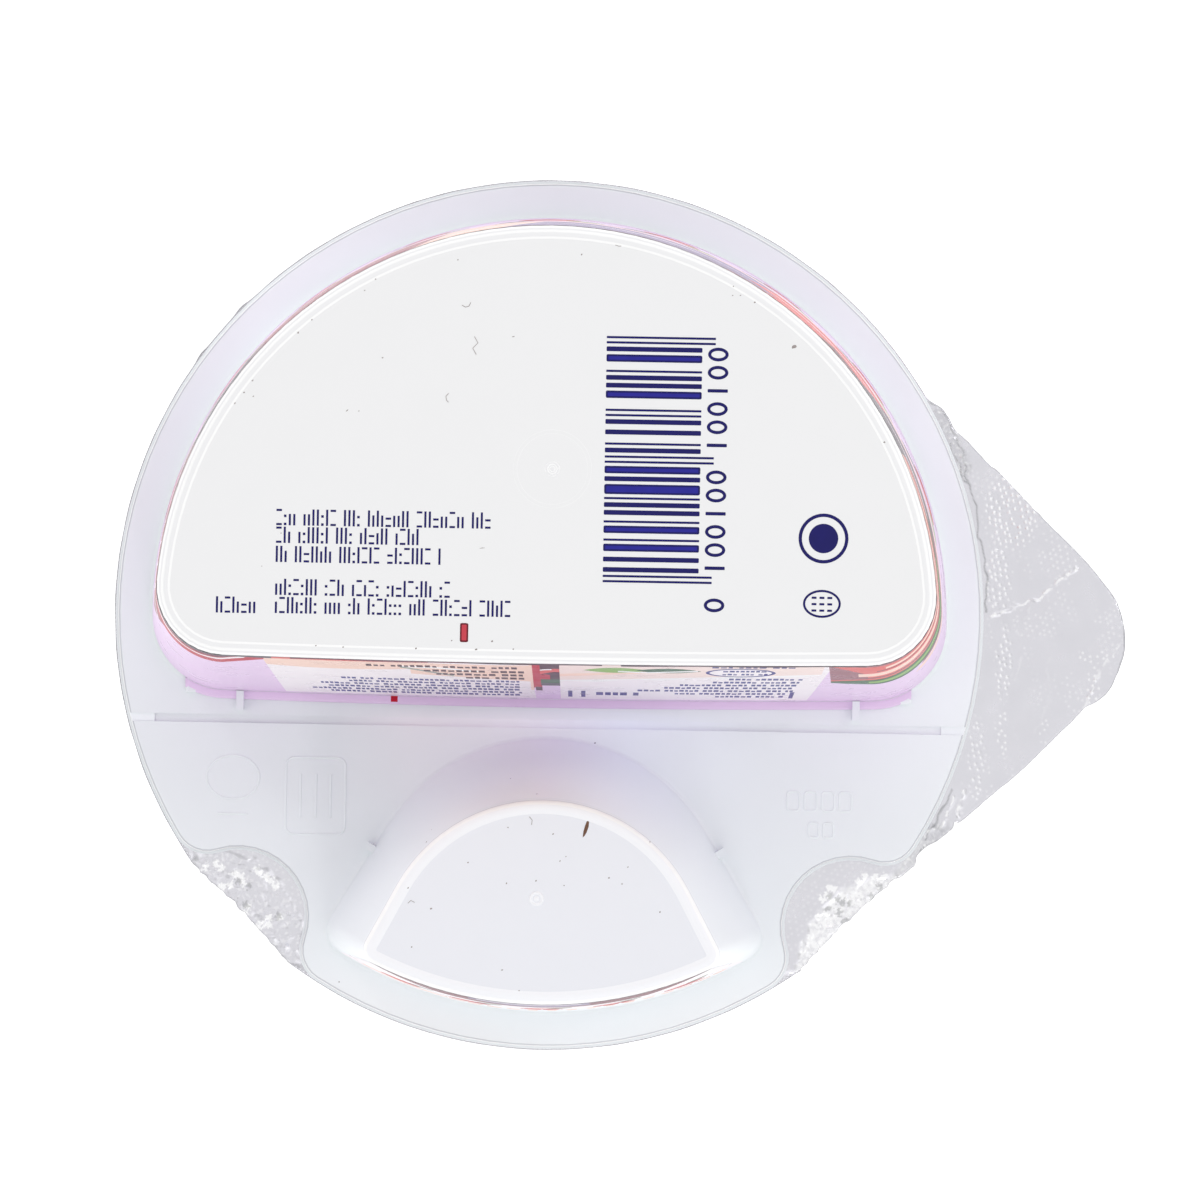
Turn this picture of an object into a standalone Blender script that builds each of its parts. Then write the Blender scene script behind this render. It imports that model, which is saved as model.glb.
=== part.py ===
"""Two-compartment yogurt pot, shut with a foil lid, lying lid down.

The origin is the middle of the lid's outer face, which is what the pot lies on. +Z runs up to the
base of the pot, +X points to the lid's pull tab, and the fruit compartment is on the -Y side.
"""
import math

import bmesh
import bpy
from mathutils import Matrix, Vector

MM = 0.001
SHARP_EDGE = math.radians(35)
MID_ROUND = 1 - math.cos(math.radians(45))

# Lid: a thin foil disc with a pull tab
FOIL_THICKNESS = 0.25 * MM
FOIL_RADIUS = 47.6 * MM
FOIL_STEP = math.radians(4)
TAB_DIRECTION = math.radians(-1.4)
TAB_APEX_DISTANCE = 67.25 * MM
TAB_HALF_ANGLE = math.radians(43.3)
TAB_TIP_RADIUS = 8.8 * MM
TAB_TIP_STEPS = 10

# Flange: the round rim that both compartments share
SEAL_GAP = 0.3 * MM
FLANGE_RADIUS = 47.5 * MM
FLANGE_THICKNESS = 1.2 * MM
FLANGE_EDGE_ROUND = 0.35 * MM
FLANGE_LIP_WIDTH = 0.3 * MM
FLANGE_LIP_THICKNESS = 0.45 * MM
FLANGE_STEP = math.radians(3.5)
FLANGE_BOTTOM = FOIL_THICKNESS + SEAL_GAP
FLANGE_TOP = FLANGE_BOTTOM + FLANGE_THICKNESS
WELD_DEPTH = 0.6 * MM

# Finger notches: two round bites out of the flange, beside the fruit compartment
NOTCH_DIRECTIONS = (math.radians(225), math.radians(315))
NOTCH_CENTRE_DISTANCE = 47.4 * MM
NOTCH_RADIUS = 7.25 * MM
NOTCH_CORNER_RADIUS = 4.0 * MM
NOTCH_STEPS = 12
NOTCH_CORNER_STEPS = 6

# Main compartment: D-shaped, its straight wall facing the fruit compartment
POT_HEIGHT = 45.0 * MM
MAIN_ROOT = {"radius": 43.35 * MM, "chord_y": -9.2 * MM, "corner": 8.2 * MM}
MAIN_BASE = {"radius": 39.75 * MM, "chord_y": -4.76 * MM, "corner": 7.0 * MM}
CHORD_BOW_RADIUS = 1500.0 * MM
MAIN_ROUND_STEPS = 56
MAIN_CORNER_STEPS = 9
MAIN_CHORD_STEPS = 10

# Fruit compartment: an arch facing the straight wall, a round wall along the flange
FRUIT_HEIGHT = 31.0 * MM
FRUIT_ROOT = {"radius": 43.35 * MM, "top_y": -13.6 * MM, "arch": 20.2 * MM,
              "side": math.radians(59), "corner": 2.6 * MM}
FRUIT_BASE = {"radius": 40.5 * MM, "top_y": -19.4 * MM, "arch": 17.2 * MM,
              "side": math.radians(62), "corner": 1.6 * MM}
FRUIT_ARCH_STEPS = 26
FRUIT_SIDE_STEPS = 4
FRUIT_CORNER_STEPS = 5
FRUIT_ROUND_STEPS = 22

# Feet of both compartments: a small fillet between wall and flange
FOOT_FILLET = 0.5 * MM
FOOT_STEPS = 3

# Bases of both compartments: a rounded rim round a panel that is set back a little
BASE_EDGE_ROUND = 0.85 * MM
BASE_EDGE_STEPS = 4
BASE_RIM_WIDTH = 0.25 * MM
PANEL_SLOPE_WIDTH = 0.3 * MM
PANEL_DEPTH = 0.12 * MM

# Ledge along the foot of the straight wall, which follows the wall into its corners
LEDGE_HALF_LENGTH = 39.6 * MM
LEDGE_WIDTH = 0.9 * MM
LEDGE_BACK_Y = -5.0 * MM
LEDGE_HEIGHT = 1.0 * MM
LEDGE_EDGE_ROUND = 0.25 * MM

# Small upright ribs at the feet of two walls, a mirrored pair of each, standing across the wall
RIB_WIDTH = 0.8 * MM
RIB_HEIGHT = 1.6 * MM
STRAIGHT_WALL_RIB = {"x": 33.6 * MM, "y": -9.85 * MM, "turn": math.radians(90), "length": 2.1 * MM}
ARCH_WALL_RIB = {"x": 18.6 * MM, "y": -26.0 * MM, "turn": math.radians(31), "length": 2.4 * MM}

# Fold line between the compartments: a groove, shallower towards the flange's edge
FOLD_Y = -11.9 * MM
FOLD_WIDTH = 0.9 * MM
FOLD_DEPTH = 0.45 * MM
FOLD_HALF_LENGTH = 43.0 * MM
FOLD_END_DEPTH = 0.15 * MM
FOLD_END_HALF_LENGTH = 49.0 * MM

PLASTIC = {"colour": (0.86, 0.86, 0.89), "metallic": 0.0, "roughness": 0.38}
FOIL = {"colour": (0.72, 0.72, 0.75), "metallic": 1.0, "roughness": 0.32}


def on_circle(centre, radius, angle):
    """Point of a circle in the plan, as a 2D vector."""
    return Vector((centre[0] + radius * math.cos(angle), centre[1] + radius * math.sin(angle)))


def arc(centre, radius, start, end, steps):
    """Points along an arc, from start up to but without its end."""
    return [on_circle(centre, radius, start + (end - start) * i / steps) for i in range(steps)]


def heading(vector):
    return math.atan2(vector[1], vector[0])


def between(low, high, share):
    """Sizes of an outline part of the way from one set of sizes to another."""
    return {name: low[name] + (high[name] - low[name]) * share for name in low}


def main_outline(sizes, inset=0.0):
    """D shape: a round wall about the origin, a slightly bowed chord, and two round corners."""
    corner_distance = sizes["radius"] - sizes["corner"]
    bow_centre = Vector((0.0, sizes["chord_y"] + CHORD_BOW_RADIUS))
    bow_distance = CHORD_BOW_RADIUS - sizes["corner"]
    corner_y = (corner_distance ** 2 - bow_distance ** 2 + bow_centre.y ** 2) / (2 * bow_centre.y)
    corner_x = math.sqrt(corner_distance ** 2 - corner_y ** 2)
    right = Vector((corner_x, corner_y))
    left = Vector((-corner_x, corner_y))
    round_end = heading(right)
    chord_end = heading(right - bow_centre)
    points = arc((0, 0), sizes["radius"] - inset, round_end, math.pi - round_end, MAIN_ROUND_STEPS)
    points += arc(left, sizes["corner"] - inset, math.pi - round_end, math.pi - chord_end,
                  MAIN_CORNER_STEPS)
    points += arc(bow_centre, CHORD_BOW_RADIUS - inset, -math.pi - chord_end, chord_end,
                  MAIN_CHORD_STEPS)
    points += arc(right, sizes["corner"] - inset, chord_end, round_end, MAIN_CORNER_STEPS)
    return points


def fruit_outline(sizes, inset=0.0):
    """Arch with flared sides, closed by a round wall about the origin."""
    arch_centre = Vector((0.0, sizes["top_y"] - sizes["arch"]))
    side_normal = math.pi / 2 - sizes["side"]
    normal = Vector((math.cos(side_normal), math.sin(side_normal)))
    along = Vector((normal.y, -normal.x))
    corner_start = arch_centre + normal * (sizes["arch"] - sizes["corner"])
    reach = sizes["radius"] - sizes["corner"]
    middle = corner_start.dot(along)
    run = -middle + math.sqrt(middle ** 2 - corner_start.length_squared + reach ** 2)
    right = corner_start + along * run
    left = Vector((-right.x, right.y))
    round_end = heading(right)
    corner = sizes["corner"] - inset
    arch = sizes["arch"] - inset

    def straight(start, end):
        return [start.lerp(end, i / FRUIT_SIDE_STEPS) for i in range(FRUIT_SIDE_STEPS)]

    left_normal = math.pi - side_normal
    points = arc(right, corner, round_end, side_normal, FRUIT_CORNER_STEPS)
    points += straight(on_circle(right, corner, side_normal),
                       on_circle(arch_centre, arch, side_normal))
    points += arc(arch_centre, arch, side_normal, left_normal, FRUIT_ARCH_STEPS)
    points += straight(on_circle(arch_centre, arch, left_normal),
                       on_circle(left, corner, left_normal))
    points += arc(left, corner, left_normal, math.pi - round_end, FRUIT_CORNER_STEPS)
    points += arc((0, 0), sizes["radius"] - inset, -math.pi - round_end, round_end,
                  FRUIT_ROUND_STEPS)
    return points


def flange_outline(offset=0.0):
    """Circle with two round notches, whose corners are rounded too."""
    corner_distance = FLANGE_RADIUS - NOTCH_CORNER_RADIUS
    reach = NOTCH_RADIUS + NOTCH_CORNER_RADIUS
    half_mouth = math.acos((corner_distance ** 2 + NOTCH_CENTRE_DISTANCE ** 2 - reach ** 2)
                           / (2 * corner_distance * NOTCH_CENTRE_DISTANCE))
    corner_radius = NOTCH_CORNER_RADIUS + offset
    points = []
    previous_end = NOTCH_DIRECTIONS[-1] + half_mouth - 2 * math.pi
    for direction in NOTCH_DIRECTIONS:
        first_corner = direction - half_mouth
        last_corner = direction + half_mouth
        steps = round((first_corner - previous_end) / FLANGE_STEP)
        points += arc((0, 0), FLANGE_RADIUS + offset, previous_end, first_corner, steps)
        centre = on_circle((0, 0), NOTCH_CENTRE_DISTANCE, direction)
        first = on_circle((0, 0), corner_distance, first_corner)
        last = on_circle((0, 0), corner_distance, last_corner)
        turn = (heading(centre - first) - first_corner) % (2 * math.pi)
        points += arc(first, corner_radius, first_corner, first_corner + turn,
                      NOTCH_CORNER_STEPS)
        inner = direction - math.pi
        half_bite = (heading(first - centre) - inner) % (2 * math.pi)
        points += arc(centre, NOTCH_RADIUS - offset, inner + half_bite, inner - half_bite,
                      NOTCH_STEPS)
        points += arc(last, corner_radius, last_corner - turn, last_corner, NOTCH_CORNER_STEPS)
        previous_end = last_corner
    return points


def foil_outline():
    """Disc cut straight across both notches, with a pull tab whose edges meet at a round tip."""
    tab_edge_distance = TAB_APEX_DISTANCE * math.sin(TAB_HALF_ANGLE)
    edge_normal = math.pi / 2 - TAB_HALF_ANGLE
    half_tab = edge_normal - math.acos(tab_edge_distance / FOIL_RADIUS)
    half_mouth = math.asin(NOTCH_RADIUS / FLANGE_RADIUS)
    points = []
    start = TAB_DIRECTION + half_tab
    for direction in NOTCH_DIRECTIONS:
        end = direction - half_mouth
        steps = round((end - start) / FOIL_STEP)
        points += arc((0, 0), FOIL_RADIUS, start, end, steps)
        points.append(on_circle((0, 0), FOIL_RADIUS, end))
        start = direction + half_mouth
    end = TAB_DIRECTION + 2 * math.pi - half_tab
    points += arc((0, 0), FOIL_RADIUS, start, end, max(1, round((end - start) / FOIL_STEP)))
    points.append(on_circle((0, 0), FOIL_RADIUS, end))
    tip_distance = TAB_APEX_DISTANCE - TAB_TIP_RADIUS / math.sin(TAB_HALF_ANGLE)
    tip_centre = on_circle((0, 0), tip_distance, TAB_DIRECTION)
    first = TAB_DIRECTION - edge_normal
    points += arc(tip_centre, TAB_TIP_RADIUS, first, first + 2 * edge_normal, TAB_TIP_STEPS)
    points.append(on_circle(tip_centre, TAB_TIP_RADIUS, first + 2 * edge_normal))
    return points


def material(name, finish):
    made = bpy.data.materials.new(name)
    made.use_nodes = True
    shader = made.node_tree.nodes["Principled BSDF"]
    shader.inputs["Base Color"].default_value = (*finish["colour"], 1.0)
    shader.inputs["Metallic"].default_value = finish["metallic"]
    shader.inputs["Roughness"].default_value = finish["roughness"]
    return made


def add_object(name, mesh, collection):
    made = bpy.data.objects.new(name, mesh)
    collection.objects.link(made)
    return made


def loft(name, rings, collection):
    """Closed body through rings of (outline, height), all with the same number of points."""
    body = bmesh.new()
    loops = [[body.verts.new((point.x, point.y, height)) for point in outline]
             for outline, height in rings]
    body.faces.new(reversed(loops[0]))
    for low, high in zip(loops, loops[1:]):
        for i in range(len(low)):
            after = (i + 1) % len(low)
            body.faces.new((low[i], low[after], high[after], high[i]))
    body.faces.new(loops[-1])
    mesh = bpy.data.meshes.new(name)
    body.to_mesh(mesh)
    body.free()
    return add_object(name, mesh, collection)


def box(name, centre, size, turn, collection):
    """Box with its scale applied, turned about its own upright axis."""
    body = bmesh.new()
    bmesh.ops.create_cube(body, size=1.0, matrix=Matrix.Diagonal((*size, 1.0)))
    mesh = bpy.data.meshes.new(name)
    body.to_mesh(mesh)
    body.free()
    made = add_object(name, mesh, collection)
    made.location = centre
    made.rotation_euler.z = turn
    return made


def compartment(name, outline, root, base, height, collection):
    """Tapered cup, standing on its mouth in the flange, with a rounded rim round its base."""
    rings = [(outline(root, -FOOT_FILLET), FLANGE_TOP - WELD_DEPTH)]
    for i in range(FOOT_STEPS + 1):
        angle = math.pi / 2 * i / FOOT_STEPS
        rings.append((outline(root, -FOOT_FILLET * (1 - math.sin(angle))),
                      FLANGE_TOP + FOOT_FILLET * (1 - math.cos(angle))))
    edge_start = height - BASE_EDGE_ROUND
    share = (edge_start - FLANGE_TOP) / (height - FLANGE_TOP)
    at_edge = between(root, base, share)
    for i in range(BASE_EDGE_STEPS + 1):
        angle = math.pi / 2 * i / BASE_EDGE_STEPS
        inset = BASE_EDGE_ROUND * (1 - math.cos(angle))
        rings.append((outline(at_edge, inset), edge_start + BASE_EDGE_ROUND * math.sin(angle)))
    rim = BASE_EDGE_ROUND + BASE_RIM_WIDTH
    rings.append((outline(at_edge, rim), height))
    rings.append((outline(at_edge, rim + PANEL_SLOPE_WIDTH), height - PANEL_DEPTH))
    return loft(name, rings, collection)


def flange(collection):
    """Flat rim with a thin lip at its lower edge and a rounded upper edge."""
    lip_top = FLANGE_BOTTOM + FLANGE_LIP_THICKNESS
    set_back = -FLANGE_LIP_WIDTH
    rings = [(flange_outline(), FLANGE_BOTTOM), (flange_outline(), lip_top),
             (flange_outline(set_back), lip_top),
             (flange_outline(set_back), FLANGE_TOP - FLANGE_EDGE_ROUND),
             (flange_outline(set_back - FLANGE_EDGE_ROUND * MID_ROUND),
              FLANGE_TOP - FLANGE_EDGE_ROUND * MID_ROUND),
             (flange_outline(set_back - FLANGE_EDGE_ROUND), FLANGE_TOP)]
    return loft("flange", rings, collection)


def ledge_outline(inset=0.0):
    """Root of the straight wall moved outwards, closed by a straight back inside the wall."""
    front = [point for point in main_outline(MAIN_ROOT, inset - LEDGE_WIDTH)
             if point.y < LEDGE_BACK_Y and abs(point.x) < LEDGE_HALF_LENGTH]
    end_x = LEDGE_HALF_LENGTH - inset
    left, right = Vector((-end_x, front[0].y)), Vector((end_x, front[-1].y))
    back = [Vector((end_x, LEDGE_BACK_Y)), Vector((-end_x, LEDGE_BACK_Y))]
    return [left, *front, right, *back]


def ledge(collection):
    """Low step along the foot of the straight wall."""
    top = FLANGE_TOP + LEDGE_HEIGHT
    rings = [(ledge_outline(), FLANGE_TOP - WELD_DEPTH),
             (ledge_outline(), top - LEDGE_EDGE_ROUND),
             (ledge_outline(LEDGE_EDGE_ROUND), top)]
    return loft("ledge", rings, collection)


def ribs(collection):
    """Small ribs at the foot of the straight wall and of the arch, a mirrored pair of each."""
    middle = FLANGE_TOP - WELD_DEPTH + (RIB_HEIGHT + WELD_DEPTH) / 2
    for place in (STRAIGHT_WALL_RIB, ARCH_WALL_RIB):
        size = (place["length"], RIB_WIDTH, RIB_HEIGHT + WELD_DEPTH)
        for side in (-1, 1):
            turn = place["turn"] if side > 0 else math.pi - place["turn"]
            box("rib", (side * place["x"], place["y"], middle), size, turn, collection)


def fold_cutters(collection):
    """Grooves along the fold line, the shallow one running out past the flange."""
    for half_length, depth in ((FOLD_HALF_LENGTH, FOLD_DEPTH),
                               (FOLD_END_HALF_LENGTH, FOLD_END_DEPTH)):
        size = (2 * half_length, FOLD_WIDTH, 2 * depth)
        cutter = box("fold_cutter", (0.0, FOLD_Y, FLANGE_TOP), size, 0.0, collection)
        cutter.hide_render = True
        cutter.display_type = "WIRE"


def apply_boolean(target, operation, collection):
    """Join or cut the target with everything in a collection, and keep only the result."""
    change = target.modifiers.new(operation.lower(), "BOOLEAN")
    change.operation = operation
    change.operand_type = "COLLECTION"
    change.collection = collection
    change.solver = "EXACT"
    evaluated = target.evaluated_get(bpy.context.evaluated_depsgraph_get())
    mesh = bpy.data.meshes.new_from_object(evaluated)
    target.modifiers.clear()
    target.data = mesh
    mesh.name = target.name
    for used in list(collection.objects):
        bpy.data.objects.remove(used)


def build_pot(parts, pieces, cutters):
    """One moulding: flange, both compartments, ledge and ribs, with the fold line cut in."""
    pot = flange(parts)
    pot.name = "pot"
    compartment("main", main_outline, MAIN_ROOT, MAIN_BASE, POT_HEIGHT, pieces)
    compartment("fruit", fruit_outline, FRUIT_ROOT, FRUIT_BASE, FRUIT_HEIGHT, pieces)
    ledge(pieces)
    ribs(pieces)
    apply_boolean(pot, "UNION", pieces)
    fold_cutters(cutters)
    apply_boolean(pot, "DIFFERENCE", cutters)
    pot.data.materials.clear()
    pot.data.materials.append(material("white_plastic", PLASTIC))
    pot.data.shade_smooth()
    pot.data.set_sharp_from_angle(angle=SHARP_EDGE)


def build_foil_lid(parts):
    """Flat foil, filled from its outline and given its thickness."""
    outline = foil_outline()
    curve = bpy.data.curves.new("foil_lid", "CURVE")
    curve.dimensions = "2D"
    curve.fill_mode = "BOTH"
    curve.extrude = FOIL_THICKNESS / 2
    spline = curve.splines.new("POLY")
    spline.points.add(len(outline) - 1)
    for point, place in zip(spline.points, outline):
        point.co = (place.x, place.y, 0.0, 1.0)
    spline.use_cyclic_u = True
    lid = add_object("foil_lid", curve, parts)
    lid.location.z = FOIL_THICKNESS / 2
    curve.materials.append(material("aluminium_foil", FOIL))


def main():
    for old in list(bpy.data.objects):
        bpy.data.objects.remove(old)
    collections = [bpy.data.collections.new(name) for name in ("yogurt_pot", "pieces", "cutters")]
    for collection in collections:
        bpy.context.scene.collection.children.link(collection)
    parts, pieces, cutters = collections
    build_pot(parts, pieces, cutters)
    build_foil_lid(parts)


main()
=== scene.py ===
import math
import random

import bpy
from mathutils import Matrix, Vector, geometry, kdtree, noise
from mathutils.bvhtree import BVHTree


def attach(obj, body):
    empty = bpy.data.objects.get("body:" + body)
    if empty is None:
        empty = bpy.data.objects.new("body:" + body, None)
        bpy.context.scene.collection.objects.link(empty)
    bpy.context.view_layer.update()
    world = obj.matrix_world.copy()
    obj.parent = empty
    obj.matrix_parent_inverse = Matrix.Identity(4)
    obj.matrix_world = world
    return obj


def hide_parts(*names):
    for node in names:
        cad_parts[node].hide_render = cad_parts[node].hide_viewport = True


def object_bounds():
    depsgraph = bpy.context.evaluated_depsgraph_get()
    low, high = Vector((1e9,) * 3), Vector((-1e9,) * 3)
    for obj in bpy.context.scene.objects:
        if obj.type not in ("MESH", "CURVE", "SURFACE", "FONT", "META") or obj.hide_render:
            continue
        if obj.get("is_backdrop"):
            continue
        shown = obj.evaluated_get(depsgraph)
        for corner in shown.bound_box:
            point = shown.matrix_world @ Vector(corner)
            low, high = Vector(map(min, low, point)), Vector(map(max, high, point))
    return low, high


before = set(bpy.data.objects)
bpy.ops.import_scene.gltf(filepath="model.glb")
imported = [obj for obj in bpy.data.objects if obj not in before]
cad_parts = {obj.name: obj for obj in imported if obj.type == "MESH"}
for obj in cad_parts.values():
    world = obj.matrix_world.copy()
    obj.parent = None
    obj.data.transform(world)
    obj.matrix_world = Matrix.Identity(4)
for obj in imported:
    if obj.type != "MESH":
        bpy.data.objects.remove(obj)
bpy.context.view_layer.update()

# Studio
# The pot is looked at from straight above its base. It lies on a bright white table, inside a pale
# light tent whose top is a little brighter than its sides, with small lamps that glint on the foil.
MM = 0.001
CAMERA_PLACE = (5.47 * MM, 1.75 * MM, 624.2 * MM)
CAMERA_TURN = math.radians(1.0)
CAMERA_LENS = 170.8
SENSOR_WIDTH = 36.0
TABLE_SIZE = 16.0
TABLE_DROP = 0.01 * MM
TABLE_GREYS = (0.90, 0.93)
TABLE_CLOUD_SCALE = 6.0
TABLE_ROUGHNESS = 0.7
TABLE_GLOW = 0.45
TENT_BRIGHTNESS = 0.95
# Grey of the tent by height, from the horizon up to the top
TENT_GREYS = ((0.0, 0.86), (0.3, 0.88), (0.6, 0.95), (0.85, 1.0), (0.98, 1.0))
TENT_PANELS = 3
TENT_PANEL_CONTRAST = 0.35
TENT_PANEL_TURN = 0.7
TENT_PANEL_LOW = (0.35, 0.6)
TENT_PANEL_HIGH = (0.97, 0.88)
# Each lamp: x, y and z in metres, and its power in watts
LAMPS = ((0.42, 0.16, 0.46, 0.2), (-0.30, 0.38, 0.46, 0.2), (0.10, -0.46, 0.46, 0.2))
LAMP_SIZE = 0.07

scene = bpy.context.scene
scene.view_settings.view_transform = "Standard"


def add_node(tree, kind, inputs=None, **settings):
    """Node with its settings, and its inputs set to values or linked to sockets."""
    made = tree.nodes.new(kind)
    for name, value in settings.items():
        setattr(made, name, value)
    for name, value in (inputs or {}).items():
        if isinstance(value, bpy.types.NodeSocket):
            tree.links.new(value, made.inputs[name])
        else:
            made.inputs[name].default_value = value
    return made


def maths(tree, operation, *values):
    """Result of a Math node over values or sockets."""
    return add_node(tree, "ShaderNodeMath", dict(enumerate(values)), operation=operation).outputs[0]


def ranged(tree, value, *limits, **settings):
    """Result of a Map Range node, from its low and high limits to 0 and 1 or to two more limits."""
    return add_node(tree, "ShaderNodeMapRange", dict(enumerate((value, *limits))), **settings).outputs[0]


def add_object(name, mesh, *materials):
    """Object with its mesh and materials, in the scene."""
    made = bpy.data.objects.new(name, mesh)
    scene.collection.objects.link(made)
    for used in materials:
        mesh.materials.append(used)
    return made


def mesh_from(name, points, faces, smooth=True):
    """Mesh from points in metres and faces, shaded smooth or flat."""
    mesh = bpy.data.meshes.new(name)
    mesh.from_pydata([tuple(point) for point in points], [], faces)
    mesh.validate()
    if smooth:
        mesh.shade_smooth()
    return mesh


def add_ramp(tree, value, stops):
    """Colour from a ramp over a value; each stop is a position and a colour or a grey."""
    made = add_node(tree, "ShaderNodeValToRGB", {0: value})
    elements = made.color_ramp.elements
    while len(elements) < len(stops):
        elements.new(1.0)
    for element, (position, _) in zip(elements, stops):
        element.position = position
    for element, (_, colour) in zip(elements, stops):
        element.color = (*colour, 1.0) if isinstance(colour, tuple) else (colour, colour, colour, 1.0)
    return made.outputs[0]


def light_tent():
    """World: a soft grey ramp from the sides to the top, with three slightly brighter panels."""
    world = bpy.data.worlds.new("light_tent")
    world.use_nodes = True
    tree = world.node_tree
    background = tree.nodes["Background"]
    place = add_node(tree, "ShaderNodeTexCoord")
    axes = add_node(tree, "ShaderNodeSeparateXYZ", {0: place.outputs["Generated"]})
    height = axes.outputs["Z"]
    grey = add_ramp(tree, height, TENT_GREYS)
    turn = maths(tree, "ARCTAN2", axes.outputs["X"], axes.outputs["Y"])
    wave = maths(tree, "SINE", maths(tree, "MULTIPLY_ADD", turn, TENT_PANELS, TENT_PANEL_TURN))
    rise = ranged(tree, height, *TENT_PANEL_LOW, interpolation_type="SMOOTHSTEP")
    fall = ranged(tree, height, *TENT_PANEL_HIGH, interpolation_type="SMOOTHSTEP")
    depth = maths(tree, "MULTIPLY", maths(tree, "MULTIPLY", rise, fall), TENT_PANEL_CONTRAST)
    factor = maths(tree, "MULTIPLY_ADD", wave, depth, 1.0)
    shade = add_node(tree, "ShaderNodeVectorMath", {0: grey, "Scale": factor}, operation="SCALE")
    tree.links.new(shade.outputs[0], background.inputs["Color"])
    background.inputs["Strength"].default_value = TENT_BRIGHTNESS
    return world


def table_material():
    """Matt white table with faint clouds, a little brighter than its surroundings."""
    made = bpy.data.materials.new("white_table")
    made.use_nodes = True
    tree = made.node_tree
    shader = tree.nodes["Principled BSDF"]
    place = add_node(tree, "ShaderNodeTexCoord")
    clouds = add_node(tree, "ShaderNodeTexNoise", {"Vector": place.outputs["Object"],
                                                   "Scale": TABLE_CLOUD_SCALE, "Detail": 3.0})
    tone = add_ramp(tree, clouds.outputs["Fac"], list(enumerate(TABLE_GREYS)))
    tree.links.new(tone, shader.inputs["Base Color"])
    shader.inputs["Roughness"].default_value = TABLE_ROUGHNESS
    shader.inputs["Emission Color"].default_value = (1.0, 1.0, 1.0, 1.0)
    shader.inputs["Emission Strength"].default_value = TABLE_GLOW
    return made


camera_data = bpy.data.cameras.new("camera")
camera_data.lens = CAMERA_LENS
camera_data.sensor_width = SENSOR_WIDTH
camera = bpy.data.objects.new("camera", camera_data)
camera.location = CAMERA_PLACE
camera.rotation_euler = (0.0, 0.0, CAMERA_TURN)
scene.collection.objects.link(camera)
scene.camera = camera

scene.world = light_tent()
for x, y, z, power in LAMPS:
    lamp_data = bpy.data.lights.new("lamp", "AREA")
    lamp_data.size = LAMP_SIZE
    lamp_data.energy = power
    lamp = bpy.data.objects.new("lamp", lamp_data)
    lamp.location = (x, y, z)
    lamp.rotation_euler = (-Vector(lamp.location)).to_track_quat("-Z", "Y").to_euler()
    scene.collection.objects.link(lamp)

half_table = TABLE_SIZE / 2
table_corners = [(x * half_table, y * half_table, -TABLE_DROP)
                 for x, y in ((-1, -1), (1, -1), (1, 1), (-1, 1))]
table = add_object("table", mesh_from("table", table_corners, [(0, 1, 2, 3)]), table_material())
table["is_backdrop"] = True

# Pot
# The pot is one thin polypropylene moulding: flange, both compartments, fold line and small ribs.
# It is satin white, with the fine grain of its mould. The CAD solid stays and is only smoothed.
SHARP_EDGE = math.radians(35)
WELD_GAP = 0.002 * MM
RELIEF_DEPTH = 0.02 * MM
GLOSS_SWING = 0.05
CLOUD_RANGE = (0.3, 0.7)
PLASTIC_LIGHT = (0.995, 0.995, 0.995)
PLASTIC_DARK = (0.98, 0.98, 0.98)
WALL_TINT = (0.916, 0.952, 0.982)
# Colours painted over the plastic's own tint: painted shade in the groove, lip, edge lines, base panels
# and main ring, painted highlight on the rims and the fruit compartment's ring
GROOVE_PAINTED_SHADE = (0.93, 0.95, 1.0)
LIP_PAINTED_SHADE = (0.852, 0.882, 0.908)
EDGE_PAINTED_SHADE = (0.62, 0.64, 0.68)
RIM_PAINTED_HIGHLIGHT = (1.0, 1.0, 1.0)
MAIN_PANEL_PAINTED_SHADE = (0.872, 0.872, 0.880)
MAIN_RING_PAINTED_SHADE = (0.878, 0.878, 0.890)
FRUIT_PANEL_PAINTED_SHADE = (0.842, 0.852, 0.905)
FRUIT_RING_PAINTED_HIGHLIGHT = (0.94, 0.945, 0.98)
# Tints by height in mm, over 2 mm each: painted shade makes the lip, groove and edge lines darker, painted
# highlights make rounded edges and rims lighter
FLANGE_PAINTED_LIGHT = ((0.0, LIP_PAINTED_SHADE), (1.05, LIP_PAINTED_SHADE), (1.10, RIM_PAINTED_HIGHLIGHT), (1.20, RIM_PAINTED_HIGHLIGHT),
                (1.25, GROOVE_PAINTED_SHADE), (1.36, GROOVE_PAINTED_SHADE), (1.40, RIM_PAINTED_HIGHLIGHT), (1.62, RIM_PAINTED_HIGHLIGHT),
                (1.655, EDGE_PAINTED_SHADE), (1.70, EDGE_PAINTED_SHADE), (1.72, WALL_TINT), (2.0, WALL_TINT))
FRUIT_RIM_PAINTED_LIGHT = ((29.4, WALL_TINT), (29.95, WALL_TINT), (30.05, EDGE_PAINTED_SHADE), (30.15, EDGE_PAINTED_SHADE),
                   (30.25, RIM_PAINTED_HIGHLIGHT), (30.84, RIM_PAINTED_HIGHLIGHT), (30.87, FRUIT_RING_PAINTED_HIGHLIGHT),
                   (31.4, FRUIT_RING_PAINTED_HIGHLIGHT))
MAIN_RIM_PAINTED_LIGHT = ((43.4, WALL_TINT), (44.0, WALL_TINT), (44.2, RIM_PAINTED_HIGHLIGHT), (44.72, RIM_PAINTED_HIGHLIGHT),
                  (44.8, MAIN_RING_PAINTED_SHADE), (44.875, MAIN_RING_PAINTED_SHADE), (44.89, RIM_PAINTED_HIGHLIGHT),
                  (44.96, RIM_PAINTED_HIGHLIGHT), (44.985, MAIN_RING_PAINTED_SHADE), (45.4, MAIN_RING_PAINTED_SHADE))
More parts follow.
